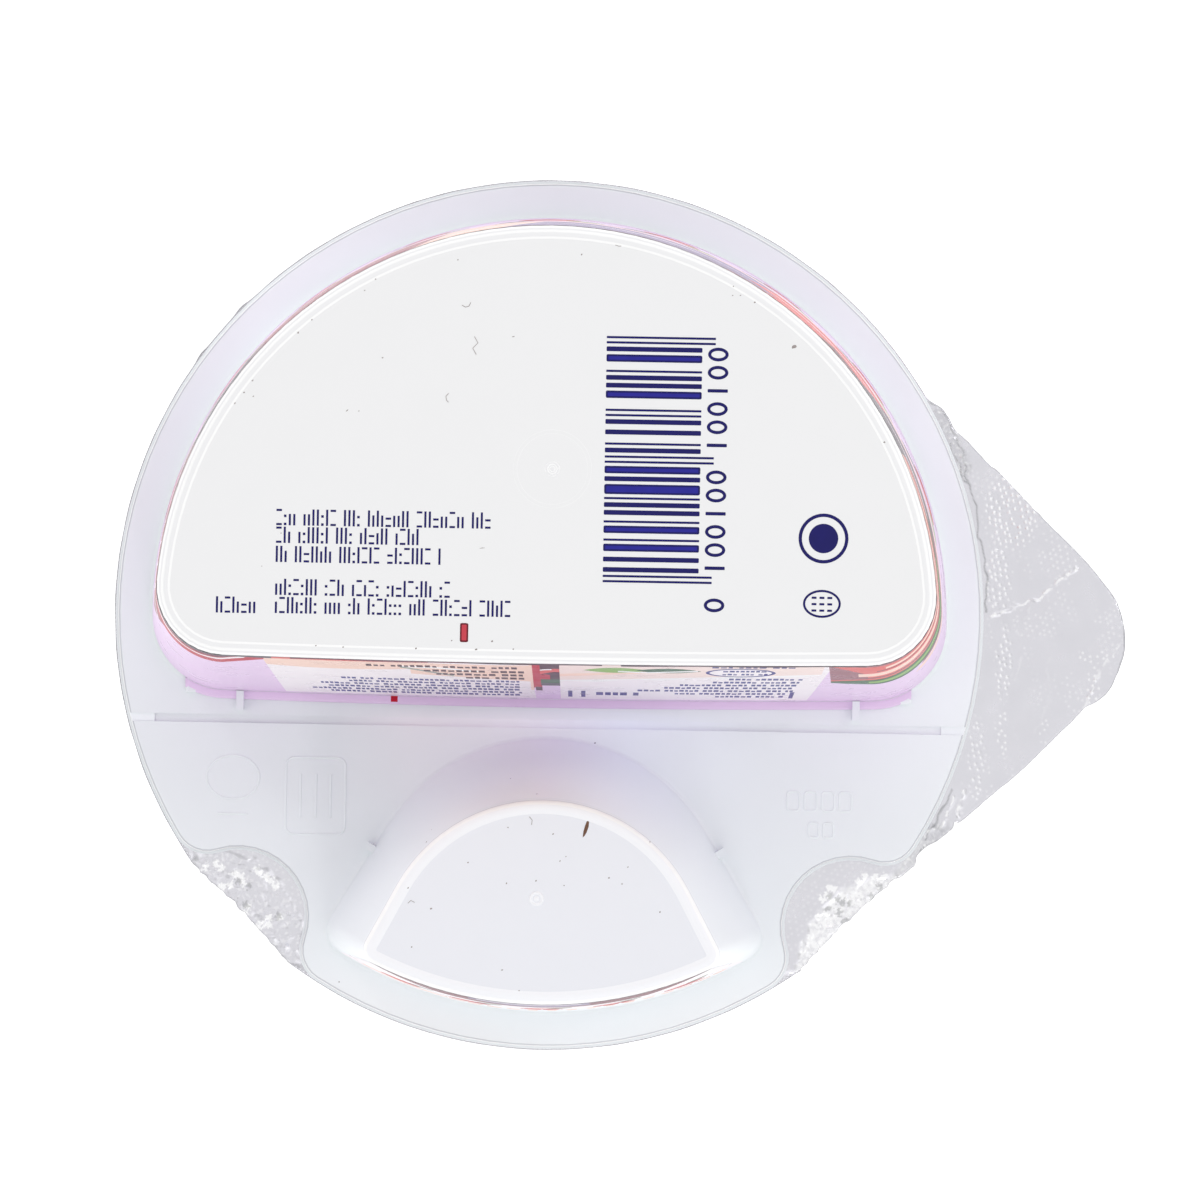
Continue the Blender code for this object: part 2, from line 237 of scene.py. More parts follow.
# Height in mm above which each rim's painted highlights and shade take over from those below
RIM_PAINTED_LIGHT = ((10.0, FRUIT_RIM_PAINTED_LIGHT), (38.0, MAIN_RIM_PAINTED_LIGHT))
WALLS_END = 29.0
# Level panels: height in mm, reach and tint, which is painted shade on the two base panels; a face is
# level where its normal points up this much
PANEL_TONE_AND_PAINTED_SHADE = ((1.53, 0.12, WALL_TINT), (44.88, 0.04, MAIN_PANEL_PAINTED_SHADE), (30.88, 0.04, FRUIT_PANEL_PAINTED_SHADE))
LEVEL = 0.98
# Painted light and shade on the plastic by heading in degrees: brighter where more light falls, darker
# where less
HEADING_PAINTED_LIGHT = ((-180, 0.92), (-150, 0.91), (-135, 0.92), (-115, 0.98), (-90, 1.0), (-65, 0.99),
                 (-45, 0.97), (-30, 0.95), (0, 1.0), (45, 1.0), (65, 0.96), (90, 0.90), (112, 0.97),
                 (135, 1.06), (155, 0.98), (180, 0.92))
# Painted glow, as emission, for light that comes through the thin plastic between the compartments, by
# place in mm
GLOW_ACROSS = ((-24, (0.0, 0.0, 0.0)), (-15, (0.10, 0.06, 0.07)), (-3, (0.10, 0.07, 0.09)),
               (9, (0.07, 0.07, 0.12)), (24, (0.0, 0.0, 0.0)))
GLOW_ALONG = ((-24, 0.0), (-18, 0.5), (-14, 0.8), (-11.5, 1.0), (-10.2, 0.1), (-8, 0.0))


def surface_grain():
    """Node group: fine grain, soft clouds and a height, which all of the pot's finishes share."""
    group = bpy.data.node_groups.new("surface_grain", "ShaderNodeTree")
    for name, kind in (("Coordinates", "NodeSocketVector"), ("Grain Scale", "NodeSocketFloat"),
                       ("Cloud Scale", "NodeSocketFloat")):
        group.interface.new_socket(name=name, in_out="INPUT", socket_type=kind)
    for name in ("Grain", "Clouds", "Height"):
        group.interface.new_socket(name=name, in_out="OUTPUT", socket_type="NodeSocketFloat")
    start = group.nodes.new("NodeGroupInput")
    end = group.nodes.new("NodeGroupOutput")
    grain = add_node(group, "ShaderNodeTexNoise",
                     {"Vector": start.outputs["Coordinates"], "Scale": start.outputs["Grain Scale"],
                      "Detail": 3.0, "Roughness": 0.6})
    clouds = add_node(group, "ShaderNodeTexNoise",
                      {"Vector": start.outputs["Coordinates"], "Scale": start.outputs["Cloud Scale"],
                       "Detail": 4.0, "Roughness": 0.55})
    height = maths(group, "MULTIPLY_ADD", grain.outputs["Fac"], 0.6, clouds.outputs["Fac"])
    group.links.new(grain.outputs["Fac"], end.inputs["Grain"])
    group.links.new(clouds.outputs["Fac"], end.inputs["Clouds"])
    group.links.new(height, end.inputs["Height"])
    return group


SURFACE_GRAIN = surface_grain()


def blended(tree, mask, first, second, blend_type="MIX"):
    """Mix of two colours by a mask; each is a socket or a plain value."""
    mixed = add_node(tree, "ShaderNodeMix", {0: mask}, data_type="RGBA", blend_type=blend_type)
    for slot, colour in ((6, first), (7, second)):
        if isinstance(colour, tuple):
            mixed.inputs[slot].default_value = (*colour, 1.0)
        else:
            tree.links.new(colour, mixed.inputs[slot])
    return mixed.outputs[2]


def finished(name, light, dark, roughness, grain_scale, cloud_scale, bump, metallic=0.0, specular=0.5):
    """Material with clouded colour, uneven gloss and fine relief from the shared grain."""
    made = bpy.data.materials.new(name)
    made.use_nodes = True
    tree = made.node_tree
    shader = tree.nodes["Principled BSDF"]
    place = add_node(tree, "ShaderNodeTexCoord")
    grain = add_node(tree, "ShaderNodeGroup", {"Coordinates": place.outputs["Object"],
                                               "Grain Scale": grain_scale,
                                               "Cloud Scale": cloud_scale}, node_tree=SURFACE_GRAIN)
    clouds = grain.outputs["Clouds"]
    tree.links.new(blended(tree, clouds, dark, light), shader.inputs["Base Color"])
    gloss = ranged(tree, clouds, *CLOUD_RANGE, roughness - GLOSS_SWING, roughness + GLOSS_SWING)
    tree.links.new(gloss, shader.inputs["Roughness"])
    relief = add_node(tree, "ShaderNodeBump", {"Height": grain.outputs["Height"],
                                               "Strength": bump, "Distance": RELIEF_DEPTH})
    tree.links.new(relief.outputs[0], shader.inputs["Normal"])
    shader.inputs["Metallic"].default_value = metallic
    shader.inputs["Specular IOR Level"].default_value = specular
    return made


def smoothing_group():
    """Geometry nodes: joins the solid's split corners and keeps only its real edges sharp."""
    group = bpy.data.node_groups.new("smooth_moulding", "GeometryNodeTree")
    group.interface.new_socket(name="Geometry", in_out="INPUT", socket_type="NodeSocketGeometry")
    group.interface.new_socket(name="Geometry", in_out="OUTPUT", socket_type="NodeSocketGeometry")
    start = group.nodes.new("NodeGroupInput")
    end = group.nodes.new("NodeGroupOutput")
    joined = add_node(group, "GeometryNodeRemoveAttribute", {"Geometry": start.outputs[0],
                                                             "Name": "custom_normal"})
    joined = add_node(group, "GeometryNodeMergeByDistance", {"Geometry": joined.outputs[0],
                                                             "Distance": WELD_GAP})
    soft = add_node(group, "GeometryNodeSetShadeSmooth", {"Geometry": joined.outputs[0],
                                                          "Shade Smooth": True}, domain="FACE")
    corner = add_node(group, "GeometryNodeInputMeshEdgeAngle")
    flat = add_node(group, "FunctionNodeCompare", {0: corner.outputs[0], 1: SHARP_EDGE},
                    data_type="FLOAT", operation="LESS_THAN")
    sharp = add_node(group, "GeometryNodeSetShadeSmooth", {"Geometry": soft.outputs[0],
                                                           "Shade Smooth": flat.outputs[0]},
                     domain="EDGE")
    group.links.new(sharp.outputs[0], end.inputs[0])
    return group


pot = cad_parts["pot"]
smoothing = pot.modifiers.new("smooth_moulding", "NODES")
smoothing.node_group = smoothing_group()
weighting = pot.modifiers.new("even_faces", "WEIGHTED_NORMAL")
weighting.keep_sharp = True
white_plastic = finished("white_plastic", PLASTIC_LIGHT, PLASTIC_DARK, roughness=0.36,
                         grain_scale=2600.0, cloud_scale=260.0, bump=0.07)
tree = white_plastic.node_tree
shader = tree.nodes["Principled BSDF"]
place = add_node(tree, "ShaderNodeTexCoord")
spot = add_node(tree, "ShaderNodeSeparateXYZ", {0: place.outputs["Object"]})
across, along, height = spot.outputs


def banded(tree, value, stops, unit=MM):
    """Colour by a place in mm, or by a value in another unit, from the first stop to the last."""
    first = stops[0][0]
    last = stops[-1][0]
    share = ranged(tree, value, first * unit, last * unit)
    return add_ramp(tree, share, [((stop - first) / (last - first), colour) for stop, colour in stops])


# Painted highlights on rounded edges and rims, and painted shade on the lip, groove and edge lines, chosen
# by height
tone_and_painted_light = banded(tree, height, FLANGE_PAINTED_LIGHT)
for limit, stops in RIM_PAINTED_LIGHT:
    above = maths(tree, "GREATER_THAN", height, limit * MM)
    tone_and_painted_light = blended(tree, above, tone_and_painted_light, banded(tree, height, stops))
# Painted light and shade by heading, multiplied in below the walls' end
heading = maths(tree, "ARCTAN2", along, across)
painted_light_by_heading = banded(tree, heading, HEADING_PAINTED_LIGHT, math.radians(1.0))
below = maths(tree, "LESS_THAN", height, WALLS_END * MM)
tone_and_painted_light = blended(tree, below, tone_and_painted_light, painted_light_by_heading, "MULTIPLY")
facing = add_node(tree, "ShaderNodeSeparateXYZ",
                  {0: add_node(tree, "ShaderNodeNewGeometry").outputs["True Normal"]})
level = maths(tree, "GREATER_THAN", facing.outputs["Z"], LEVEL)
# Painted shade on the level base panels; the flange's level top keeps the wall tint
for middle, reach, panel_tone_and_shade in PANEL_TONE_AND_PAINTED_SHADE:
    near = maths(tree, "COMPARE", height, middle * MM, reach * MM)
    tone_and_painted_light = blended(tree, maths(tree, "MULTIPLY", near, level), tone_and_painted_light, panel_tone_and_shade)
clouded = shader.inputs["Base Color"].links[0].from_socket
tree.links.new(blended(tree, 1.0, clouded, tone_and_painted_light, "MULTIPLY"), shader.inputs["Base Color"])
# Painted glow between the compartments, given as emission below the walls' end
painted_glow = blended(tree, 1.0, banded(tree, across, GLOW_ACROSS), banded(tree, along, GLOW_ALONG), "MULTIPLY")
tree.links.new(blended(tree, below, (0.0, 0.0, 0.0), painted_glow), shader.inputs["Emission Color"])
shader.inputs["Emission Strength"].default_value = 1.0
pot.data.materials[0] = white_plastic

# Moulding marks
# Each base has a small nub in a ring where the plastic was injected. The flap beside the fruit
# compartment has faint raised outlines, which the mould leaves: they stand a few hundredths proud.
FLANGE_TOP = 1.75 * MM
MAIN_PANEL = 44.88 * MM
FRUIT_PANEL = 30.88 * MM
# Radius and height in mm, from the outer edge in to the middle
NUB_PROFILE = ((0.80, -0.02), (0.72, 0.08), (0.64, 0.13), (0.56, 0.13), (0.48, 0.05), (0.42, 0.015),
               (0.30, 0.015), (0.22, 0.10), (0.12, 0.16), (0.0, 0.17))
NUBS = ((0.4, 15.0, MAIN_PANEL), (-0.6, -29.5, FRUIT_PANEL))
HALO_SIZE = 7.6
HALO_WIDTH = 0.6
HALO_HEIGHT = 0.008
MARK_SINK = 0.02
MARK_HEIGHT = 0.07
MARK_WIDTH = 0.3
# Flap outlines in mm: boxes as left, low, right, high and corner, and open strokes from end to end
FLAP_BOXES = ((-28.5, -24.4, -22.0, -16.0, 0.9), (26.3, -20.9, 27.65, -18.8, 0.4),
              (28.2, -20.9, 29.55, -18.8, 0.4), (30.1, -20.9, 31.45, -18.8, 0.4),
              (32.0, -20.9, 33.35, -18.8, 0.4), (28.7, -23.8, 29.8, -22.2, 0.3),
              (30.3, -23.8, 31.4, -22.2, 0.3))
FLAP_STROKES = (((-35.9, -22.3), (-32.7, -22.3)), ((-26.9, -22.6), (-26.9, -17.8)),
                ((-25.2, -22.6), (-25.2, -17.8)), ((-23.6, -22.6), (-23.6, -17.8)))


def turned(name, centre, profile, steps=40):
    """Round relief turned about an upright axis, from its outer edge in to its middle."""
    points = []
    faces = []
    for radius, height in profile[:-1]:
        for i in range(steps):
            angle = 2 * math.pi * i / steps
            points.append((centre[0] + radius * math.cos(angle),
                           centre[1] + radius * math.sin(angle), centre[2] + height))
    points.append((centre[0], centre[1], centre[2] + profile[-1][1]))
    for row in range(len(profile) - 2):
        for i in range(steps):
            after = (i + 1) % steps
            faces.append((row * steps + i, row * steps + after,
                          (row + 1) * steps + after, (row + 1) * steps + i))
    last = (len(profile) - 2) * steps
    for i in range(steps):
        faces.append((last + i, last + (i + 1) % steps, len(points) - 1))
    return mesh_from(name, points, faces)


def raised_line(path, width, height, floor, closed=True):
    """Points and faces of a low rounded bead along a path; all in mm but the floor, in metres."""
    section = ((-0.5, -MARK_SINK), (-0.3, height * 0.8), (0.0, height), (0.3, height * 0.8),
               (0.5, -MARK_SINK))
    points = []
    faces = []
    count = len(path)
    for i, place in enumerate(path):
        before = path[i - 1] if closed or i else place
        after = path[(i + 1) % count] if closed or i < count - 1 else place
        along = (Vector(after) - Vector(before)).normalized()
        side = Vector((-along.y, along.x))
        for across, up in section:
            spot = (Vector(place) + side * across * width) * MM
            points.append((spot.x, spot.y, floor + up * MM))
    size = len(section)
    for i in range(count if closed else count - 1):
        after = (i + 1) % count
        for k in range(size - 1):
            faces.append((i * size + k, after * size + k, after * size + k + 1, i * size + k + 1))
    return points, faces


def ellipse(centre, width, height, turn=0.0, steps=40):
    """Closed outline of an ellipse, as 2D points."""
    made = []
    for i in range(steps):
        angle = 2 * math.pi * i / steps
        x = width / 2 * math.cos(angle)
        y = height / 2 * math.sin(angle)
        made.append((centre[0] + x * math.cos(turn) - y * math.sin(turn),
                     centre[1] + x * math.sin(turn) + y * math.cos(turn)))
    return made


def rounded_box(left, low, right, high, corner, steps=6):
    """Closed outline of a rectangle with round corners, as 2D points."""
    made = []
    for x, y, start in ((right - corner, high - corner, 0.0), (left + corner, high - corner, 0.5),
                        (left + corner, low + corner, 1.0), (right - corner, low + corner, 1.5)):
        for i in range(steps + 1):
            angle = math.pi * (start + 0.5 * i / steps)
            made.append((x + corner * math.cos(angle), y + corner * math.sin(angle)))
    return made


def joined(name, parts, smooth=True):
    """One mesh from several sets of points and faces."""
    points = []
    faces = []
    for more_points, more_faces in parts:
        start = len(points)
        points.extend(more_points)
        faces.extend(tuple(start + i for i in face) for face in more_faces)
    return mesh_from(name, points, faces, smooth)


for i, (x, y, z) in enumerate(NUBS):
    profile = [(radius * MM, height * MM) for radius, height in NUB_PROFILE]
    nub = add_object(f"injection_nub_{i + 1}", turned("injection_nub", (x * MM, y * MM, z), profile),
                     white_plastic)
    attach(nub, "root")

marks = [raised_line(ellipse(NUBS[0][:2], HALO_SIZE, HALO_SIZE), HALO_WIDTH, HALO_HEIGHT, MAIN_PANEL)]
flap_paths = [(ellipse((-34.3, -18.3), 5.75, 4.8), True)]
flap_paths += [(rounded_box(*box), True) for box in FLAP_BOXES]
flap_paths += [(stroke, False) for stroke in FLAP_STROKES]
marks += [raised_line(path, MARK_WIDTH, MARK_HEIGHT, FLANGE_TOP, closed) for path, closed in flap_paths]
flap_marks = add_object("mould_lines", joined("mould_lines", marks), white_plastic)
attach(flap_marks, "root")

# Wall label
# A printed film is moulded into the wall of the main compartment and over the ledge at its foot. Its
# ground is lilac, with fields of colour, berries and leaves, all cut from one sheet by their outlines.
CHORD_BOW_RADIUS = 1500.0
WALL_FOOT = {"radius": 43.35, "chord_y": -9.2, "corner": 8.2, "z": 2.25}
BASE_PLANE = {"radius": 39.75, "chord_y": -4.76, "corner": 7.0, "z": 45.0}
FOOT_PLANE_Z = 1.75
WALL_TOP_Z = 44.15
FILM_LOW_Z = 2.9
FILM_HIGH_Z = 44.1
FILM_LIFT = 0.03
SHEET_ROWS = 8
CUT_TOLERANCE = 1e-5
# Step in mm between the sheet's columns on the chord, the corners and the round wall
COLUMN_STEPS = (2.0, 0.6, 1.2, 0.6)


def srgb(red, green, blue):
    """Linear colour from the 0 to 255 values that a colour chart gives."""
    made = []
    for value in (red, green, blue):
        value = value / 255
        made.append(value / 12.92 if value <= 0.04045 else ((value + 0.055) / 1.055) ** 2.4)
    return tuple(made)


# Printed colours, as on a colour chart; the first is the ground
INK_COLOURS = {
    "lilac": (233, 208, 239), "pink_white": (250, 243, 247), "peach": (249, 214, 198),
    "pale_peach": (247, 226, 220), "coral": (222, 98, 92), "red": (190, 30, 52),
    "dark_red": (112, 30, 52), "brown": (72, 40, 48), "dark_grey": (84, 78, 86),
    "rose_brown": (150, 92, 102), "dusty_rose": (166, 96, 106), "stone": (108, 96, 102),
    "mist": (152, 138, 174), "violet_grey": (140, 124, 156), "green": (52, 100, 62),
    "light_green": (140, 182, 92), "grey_green": (150, 160, 150), "navy": (30, 32, 128),
    "white": (250, 249, 251)}
INK_NAMES = list(INK_COLOURS)
INK_LIGHTER = 1.05
INK_DARKER = 0.96
LABEL_GLOSS = 0.08
INKS = {}
for name, chart_colour in INK_COLOURS.items():
    colour = srgb(*chart_colour)
    INKS[name] = finished(f"ink_{name}", tuple(min(1.0, c * INK_LIGHTER) for c in colour),
                          tuple(c * INK_DARKER for c in colour), roughness=0.3, grain_scale=2500.0,
                          cloud_scale=220.0, bump=0.02, specular=LABEL_GLOSS)


def wall_arcs(sizes):
    """The wall's four arcs in the plan: chord, right corner, round wall, left corner."""
    reach = sizes["radius"] - sizes["corner"]
    bow_y = sizes["chord_y"] + CHORD_BOW_RADIUS
    bow_reach = CHORD_BOW_RADIUS - sizes["corner"]
    corner_y = (reach ** 2 - bow_reach ** 2 + bow_y ** 2) / (2 * bow_y)
    corner_x = math.sqrt(reach ** 2 - corner_y ** 2)
    round_end = math.atan2(corner_y, corner_x)
    chord_end = math.atan2(corner_y - bow_y, corner_x)
    return [((0.0, bow_y), CHORD_BOW_RADIUS, -math.pi - chord_end, chord_end),
            ((corner_x, corner_y), sizes["corner"], chord_end, round_end),
            ((0.0, 0.0), sizes["radius"], round_end, math.pi - round_end),
            ((-corner_x, corner_y), sizes["corner"], math.pi - round_end, math.pi - chord_end)]


def part_way(low, high, share):
    """Sizes between two sets of them."""
    return {name: low[name] + (high[name] - low[name]) * share for name in low}


top_share = (WALL_TOP_Z - FOOT_PLANE_Z) / (BASE_PLANE["z"] - FOOT_PLANE_Z)
WALL_TOP = part_way({**WALL_FOOT, "z": FOOT_PLANE_Z}, BASE_PLANE, top_share)
FOOT_ARCS = wall_arcs(WALL_FOOT)
TOP_ARCS = wall_arcs(WALL_TOP)
ARC_LENGTHS = [(low[1] * (low[3] - low[2]) + high[1] * (high[3] - high[2])) / 2
               for low, high in zip(FOOT_ARCS, TOP_ARCS)]
WALL_LENGTH = sum(ARC_LENGTHS)
ARC_STARTS = [-ARC_LENGTHS[0] / 2]
for length in ARC_LENGTHS[:-1]:
    ARC_STARTS.append(ARC_STARTS[-1] + length)


def wall_point(along, z):
    """Point of the wall, from the distance along it to the right of the chord's middle."""
    along = (along - ARC_STARTS[0]) % WALL_LENGTH + ARC_STARTS[0]
    index = max(i for i in range(4) if along >= ARC_STARTS[i] - 1e-9)
    share = (along - ARC_STARTS[index]) / ARC_LENGTHS[index]
    places = []
    for centre, radius, start, end in (FOOT_ARCS[index], TOP_ARCS[index]):
        angle = start + (end - start) * share
        places.append(Vector((centre[0] + radius * math.cos(angle),
                              centre[1] + radius * math.sin(angle))))
    up = (z - WALL_FOOT["z"]) / (WALL_TOP_Z - WALL_FOOT["z"])
    place = places[0].lerp(places[1], up)
    return Vector((place.x, place.y, z))


def on_wall(along, z, lift=FILM_LIFT):
    """Point at a small height over the wall, in metres."""
    here = wall_point(along, z)
    across = wall_point(along + 0.05, z) - wall_point(along - 0.05, z)
    upward = wall_point(along, z + 0.5) - here
    return (here + across.cross(upward).normalized() * lift) * MM


def at_heading(degrees):
    """Distance along the wall at a heading of its round part, from +X."""
    _, _, start, end = TOP_ARCS[2]
    return ARC_STARTS[2] + ARC_LENGTHS[2] * (math.radians(degrees) - start) / (end - start)


def strip(left, right, low, high, step=0.5):
    """Field between two edges, each a height or a function of the distance along."""
    count = max(1, math.ceil((right - left) / step))
    along = [left + (right - left) * i / count for i in range(count + 1)]
    lower = [(u, low(u) if callable(low) else low) for u in along]
    upper = [(u, high(u) if callable(high) else high) for u in reversed(along)]
    return lower + upper


def leaf(x, y, length, width, turn, steps=9):
    """Pointed leaf outline."""
    half = [(length * (i / steps - 0.5), width / 2 * math.sin(math.pi * i / steps) ** 0.8)
            for i in range(steps + 1)]
    outline = half + [(u, -v) for u, v in reversed(half[1:-1])]
    return [(x + u * math.cos(turn) - v * math.sin(turn), y + u * math.sin(turn) + v * math.cos(turn))
            for u, v in outline]


def wave(middle, swing, length, phase=0.0):
    """Height that rises and falls with the distance along."""
    return lambda u: middle + swing * math.sin(2 * math.pi * u / length + phase)


def upright_to(to_space, u, v):
    """Direction that the film faces at a place on it."""
    here = to_space(u, v)
    return (to_space(u + 0.02, v) - here).cross(to_space(u, v + 0.02) - here).normalized()


def printed_sheet(name, ground, fields, columns, to_space):
    """One sheet cut by the outlines of its colour fields, later fields lying over earlier ones."""
    points = []
    edges = []
    faces = []

    def add_face(outline):
        start = len(points)
        points.extend(Vector(place) for place in outline)
        order = list(range(start, len(points)))
        turn = sum(a[0] * b[1] - b[0] * a[1] for a, b in zip(outline, outline[1:] + outline[:1]))
        faces.append(order if turn > 0 else order[::-1])

    add_face(ground)
    for _, outline in fields:
        add_face(outline)
    low = min(v for _, v in ground)
    high = max(v for _, v in ground)
    for u in columns:
        start = len(points)
        points.extend(Vector((u, low + (high - low) * i / SHEET_ROWS)) for i in range(SHEET_ROWS + 1))
        edges.extend((start + i, start + i + 1) for i in range(SHEET_ROWS))
    flat, _, cut, _, _, owners = geometry.delaunay_2d_cdt(points, edges, faces, 1, CUT_TOLERANCE)
    inks = []
    kept = []
    for corners, owner in zip(cut, owners):
        if 0 in owner:
            kept.append(corners)
            top = max(owner)
            inks.append(INK_NAMES.index(fields[top - 1][0]) if top else 0)
    used = sorted({i for corners in kept for i in corners})
    index = {old: new for new, old in enumerate(used)}
    mesh = bpy.data.meshes.new(name)
    mesh.from_pydata([tuple(to_space(flat[i].x, flat[i].y)) for i in used], [],
                     [tuple(index[i] for i in corners) for corners in kept])
    sheet = add_object(name, mesh, *INKS.values())
    mesh.polygons.foreach_set("material_index", inks)
    mesh.shade_smooth()
    mesh.normals_split_custom_set_from_vertices([upright_to(to_space, flat[i].x, flat[i].y) for i in used])
    return sheet


def print_row(draw, left, right, low, height, mark, ink_name="navy"):
    """Row of small solid marks in groups, for print that is seen from far away."""
    made = []
    x = left
    while x < right:
        for _ in range(draw.randint(3, 8)):
            if x > right:
                break
            long = mark * draw.uniform(0.8, 1.5)
            rise = height * draw.choice((0.75, 1.0, 1.0))
            made.append((ink_name, panel(x, x + long, low, low + rise)))
            x += long + mark * 0.42
        x += mark * 0.9
    return made


def upright(x, z):
    """Distance along the straight wall at a sideways place and a height, so that edges stand upright."""
    foot = FOOT_ARCS[1][0][0]
    half = foot + (TOP_ARCS[1][0][0] - foot) * (z - WALL_FOOT["z"]) / (WALL_TOP_Z - WALL_FOOT["z"])
    return x * ARC_LENGTHS[0] / 2 / half


def panel(left, right, low, high, lean=0.0):
    """Field on the straight wall between two upright sides; a lean shifts its foot sideways."""
    outline = strip(left, right, low, high)
    return [(upright(x + lean * (44.0 - z) / 40.0, z), z) for x, z in outline]


def label_fields():
    """Colour fields of the wall label, on its distance along and its height."""
    draw = random.Random(31)
    top = FILM_HIGH_Z
    fields = []

    def paint(name, outline):
        fields.append((name, outline))

    # Left panel of the straight wall
    paint("pink_white", panel(-28.8, -1.7, 4.0, top, 0.45))
    paint("peach", panel(-28.8, -13.0, lambda x: 33.5 + 0.04 * (x + 21.0) ** 2, top, 0.45))
    paint("peach", panel(-14.0, -1.7, lambda x: 24.0 + 0.5 * (-1.7 - x), wave(42.4, 0.5, 24.0)))
    paint("coral", panel(-28.8, -12.0, lambda x: 42.2 + 0.06 * abs(x + 20.0), top, 0.45))
    paint("white", panel(-15.0, -7.0, lambda x: 36.6 - 0.5 * (x + 12.0) + 0.5 * math.sin(x),
                         lambda x: 38.2 - 0.5 * (x + 12.0) + 0.5 * math.sin(x)))
    paint("grey_green", panel(-15.0, -9.6, lambda x: 35.2 - 1.6 * (x + 14.0),
                              lambda x: 36.8 - 1.6 * (x + 14.0)))
    for left, low in ((-18.4, 37.6), (-12.6, 33.2), (-11.4, 29.6), (-8.4, 26.0)):
        fields += print_row(draw, left, -2.7, low, 2.3, 0.5, "brown")
    for row, low in enumerate((22.4, 19.2, 16.0, 12.8, 9.6, 6.6)):
        fields += print_row(draw, -21.6 - 1.2 * min(row, 3) + 1.9 * (row % 2), -2.9, low, 2.0, 0.36)
    # Spine with blocks of red, brown and green
    paint("peach", panel(-1.7, -1.35, 14.0, top))
    paint("red", panel(-1.4, -0.5, 17.0, top))
    paint("brown", panel(-1.2, -0.5, 13.5, 18.0))
    paint("brown", panel(-0.6, 1.4, 27.0, top))
    paint("coral", panel(-0.6, 1.4, wave(34.0, 1.6, 4.0), wave(37.6, 1.6, 4.0)))
    paint("white", panel(-0.6, 0.6, wave(36.6, 0.9, 4.0, 1.0), wave(37.8, 0.9, 4.0, 1.0)))
    paint("red", panel(-0.6, 0.4, 27.0, wave(31.6, 1.2, 3.0, 2.0)))
    paint("green", panel(-0.6, 1.4, 22.5, 27.0))
    paint("dark_grey", panel(-0.6, 1.4, 19.6, 22.6))
    # Right panel
    paint("pink_white", panel(1.4, 28.0, 4.0, top))
    paint("pink_white", panel(20.0, 29.2, 4.0, top, -1.2))
    paint("pale_peach", panel(1.4, 28.4, lambda x: 26.0 + 0.3 * x, top))
    paint("peach", panel(1.4, 14.0, lambda x: 30.0 + 0.5 * x, lambda x: 33.0 + 0.4 * x))
    paint("white", panel(1.4, 28.4, lambda x: 24.0 + 0.34 * x + 0.8 * math.sin(x * 0.9),
                         lambda x: 26.2 + 0.3 * x))
    paint("light_green", leaf(7.4, 38.4, 6.8, 5.6, 0.05))
    paint("green", leaf(13.0, 38.2, 7.0, 5.0, -0.1))
    paint("white", panel(7.4, 15.6, lambda x: 35.4 + 0.4 * abs(x - 10.4),
                         lambda x: 36.6 + 0.4 * abs(x - 10.4)))
    paint("navy", ellipse((20.6, 36.4), 7.4, 9.6))
    paint("pink_white", ellipse((20.6, 36.4), 6.6, 7.8))
    for left, right, low, height, mark in ((18.2, 22.6, 37.2, 1.8, 0.36), (18.2, 22.6, 33.8, 1.8, 0.36),
                                           (17.0, 25.6, 41.6, 1.4, 0.5)):
        fields += print_row(draw, left, right, low, height, mark)
    for row, (left, low) in enumerate(((19.0, 28.0), (17.4, 24.4), (14.0, 21.0), (12.4, 17.6),
                                       (9.6, 14.2), (13.6, 10.8), (18.0, 7.4))):
        fields += print_row(draw, left, 26.8 - 0.25 * row, low, 2.1, 0.36)
    fields += print_row(draw, 5.2, 9.2, 9.0, 3.6, 0.5)
    for x in (2.2, 3.6, 25.9):
        paint("navy", panel(x, x + 0.45, 6.5, 14.0))

    # Round wall: one ribbon under the base, in lengths of different colour with slanting ends
    def ribbon_low(u):
        return 23.0 + 1.6 * math.sin(u / 8.0) + 0.5 * math.sin(u / 2.7)

    def ribbon(name, first, last, low, high):
        outline = strip(at_heading(first), at_heading(last), low, high, 1.0)
        paint(name, [(u + 0.25 * (z - top), z) for u, z in outline])

    ribbon("peach", 4.0, 184.0, lambda u: ribbon_low(u) - 3.4, lambda u: ribbon_low(u) - 1.0)
    for first, last, name in ((4, 24, "dusty_rose"), (20, 44, "stone"), (40, 68, "coral"),
                              (64, 102, "mist"), (98, 116, "peach"), (112, 146, "dusty_rose"),
                              (142, 170, "stone"), (166, 184, "dusty_rose")):
        ribbon(name, first, last, ribbon_low, lambda u: top)
    ribbon("pink_white", 4.0, 184.0, lambda u: ribbon_low(u) + 7.0,
           lambda u: ribbon_low(u) + 8.2 + 0.5 * math.sin(u / 3.1))
    for first, last, name in ((18, 48, "dark_grey"), (58, 80, "violet_grey"), (138, 172, "dark_grey")):
        ribbon(name, first, last, lambda u: ribbon_low(u) + 13.0 + 0.8 * math.sin(u / 1.9),
               lambda u: top - 2.0)
    ribbon("dark_red", 36.0, 120.0, lambda u: 43.1 + 0.5 * math.sin(u / 2.1), lambda u: top)
    paint("violet_grey", strip(at_heading(8), at_heading(172), 6.4, 7.5, 1.0))

    # Left corner: a red ribbon that thins out towards the straight wall
    start = upright(-28.8, 40.0)

    def left_low(u):
        return 41.2 - 5.2 * min(1.0, max(0.0, (start - u) / 4.6))

    paint("red", strip(-62.0, start, left_low, top))
    paint("pink_white", strip(-62.0, start - 2.0, lambda u: left_low(u) + 3.2,
                              lambda u: left_low(u) + 4.4 + 0.4 * math.sin(u * 0.7)))
    paint("dark_red", strip(-62.0, start, lambda u: min(top - 0.9, left_low(u) + 5.2), top))
    paint("dark_grey", strip(-62.0, start - 6.0, wave(43.0, 0.3, 9.0), top))

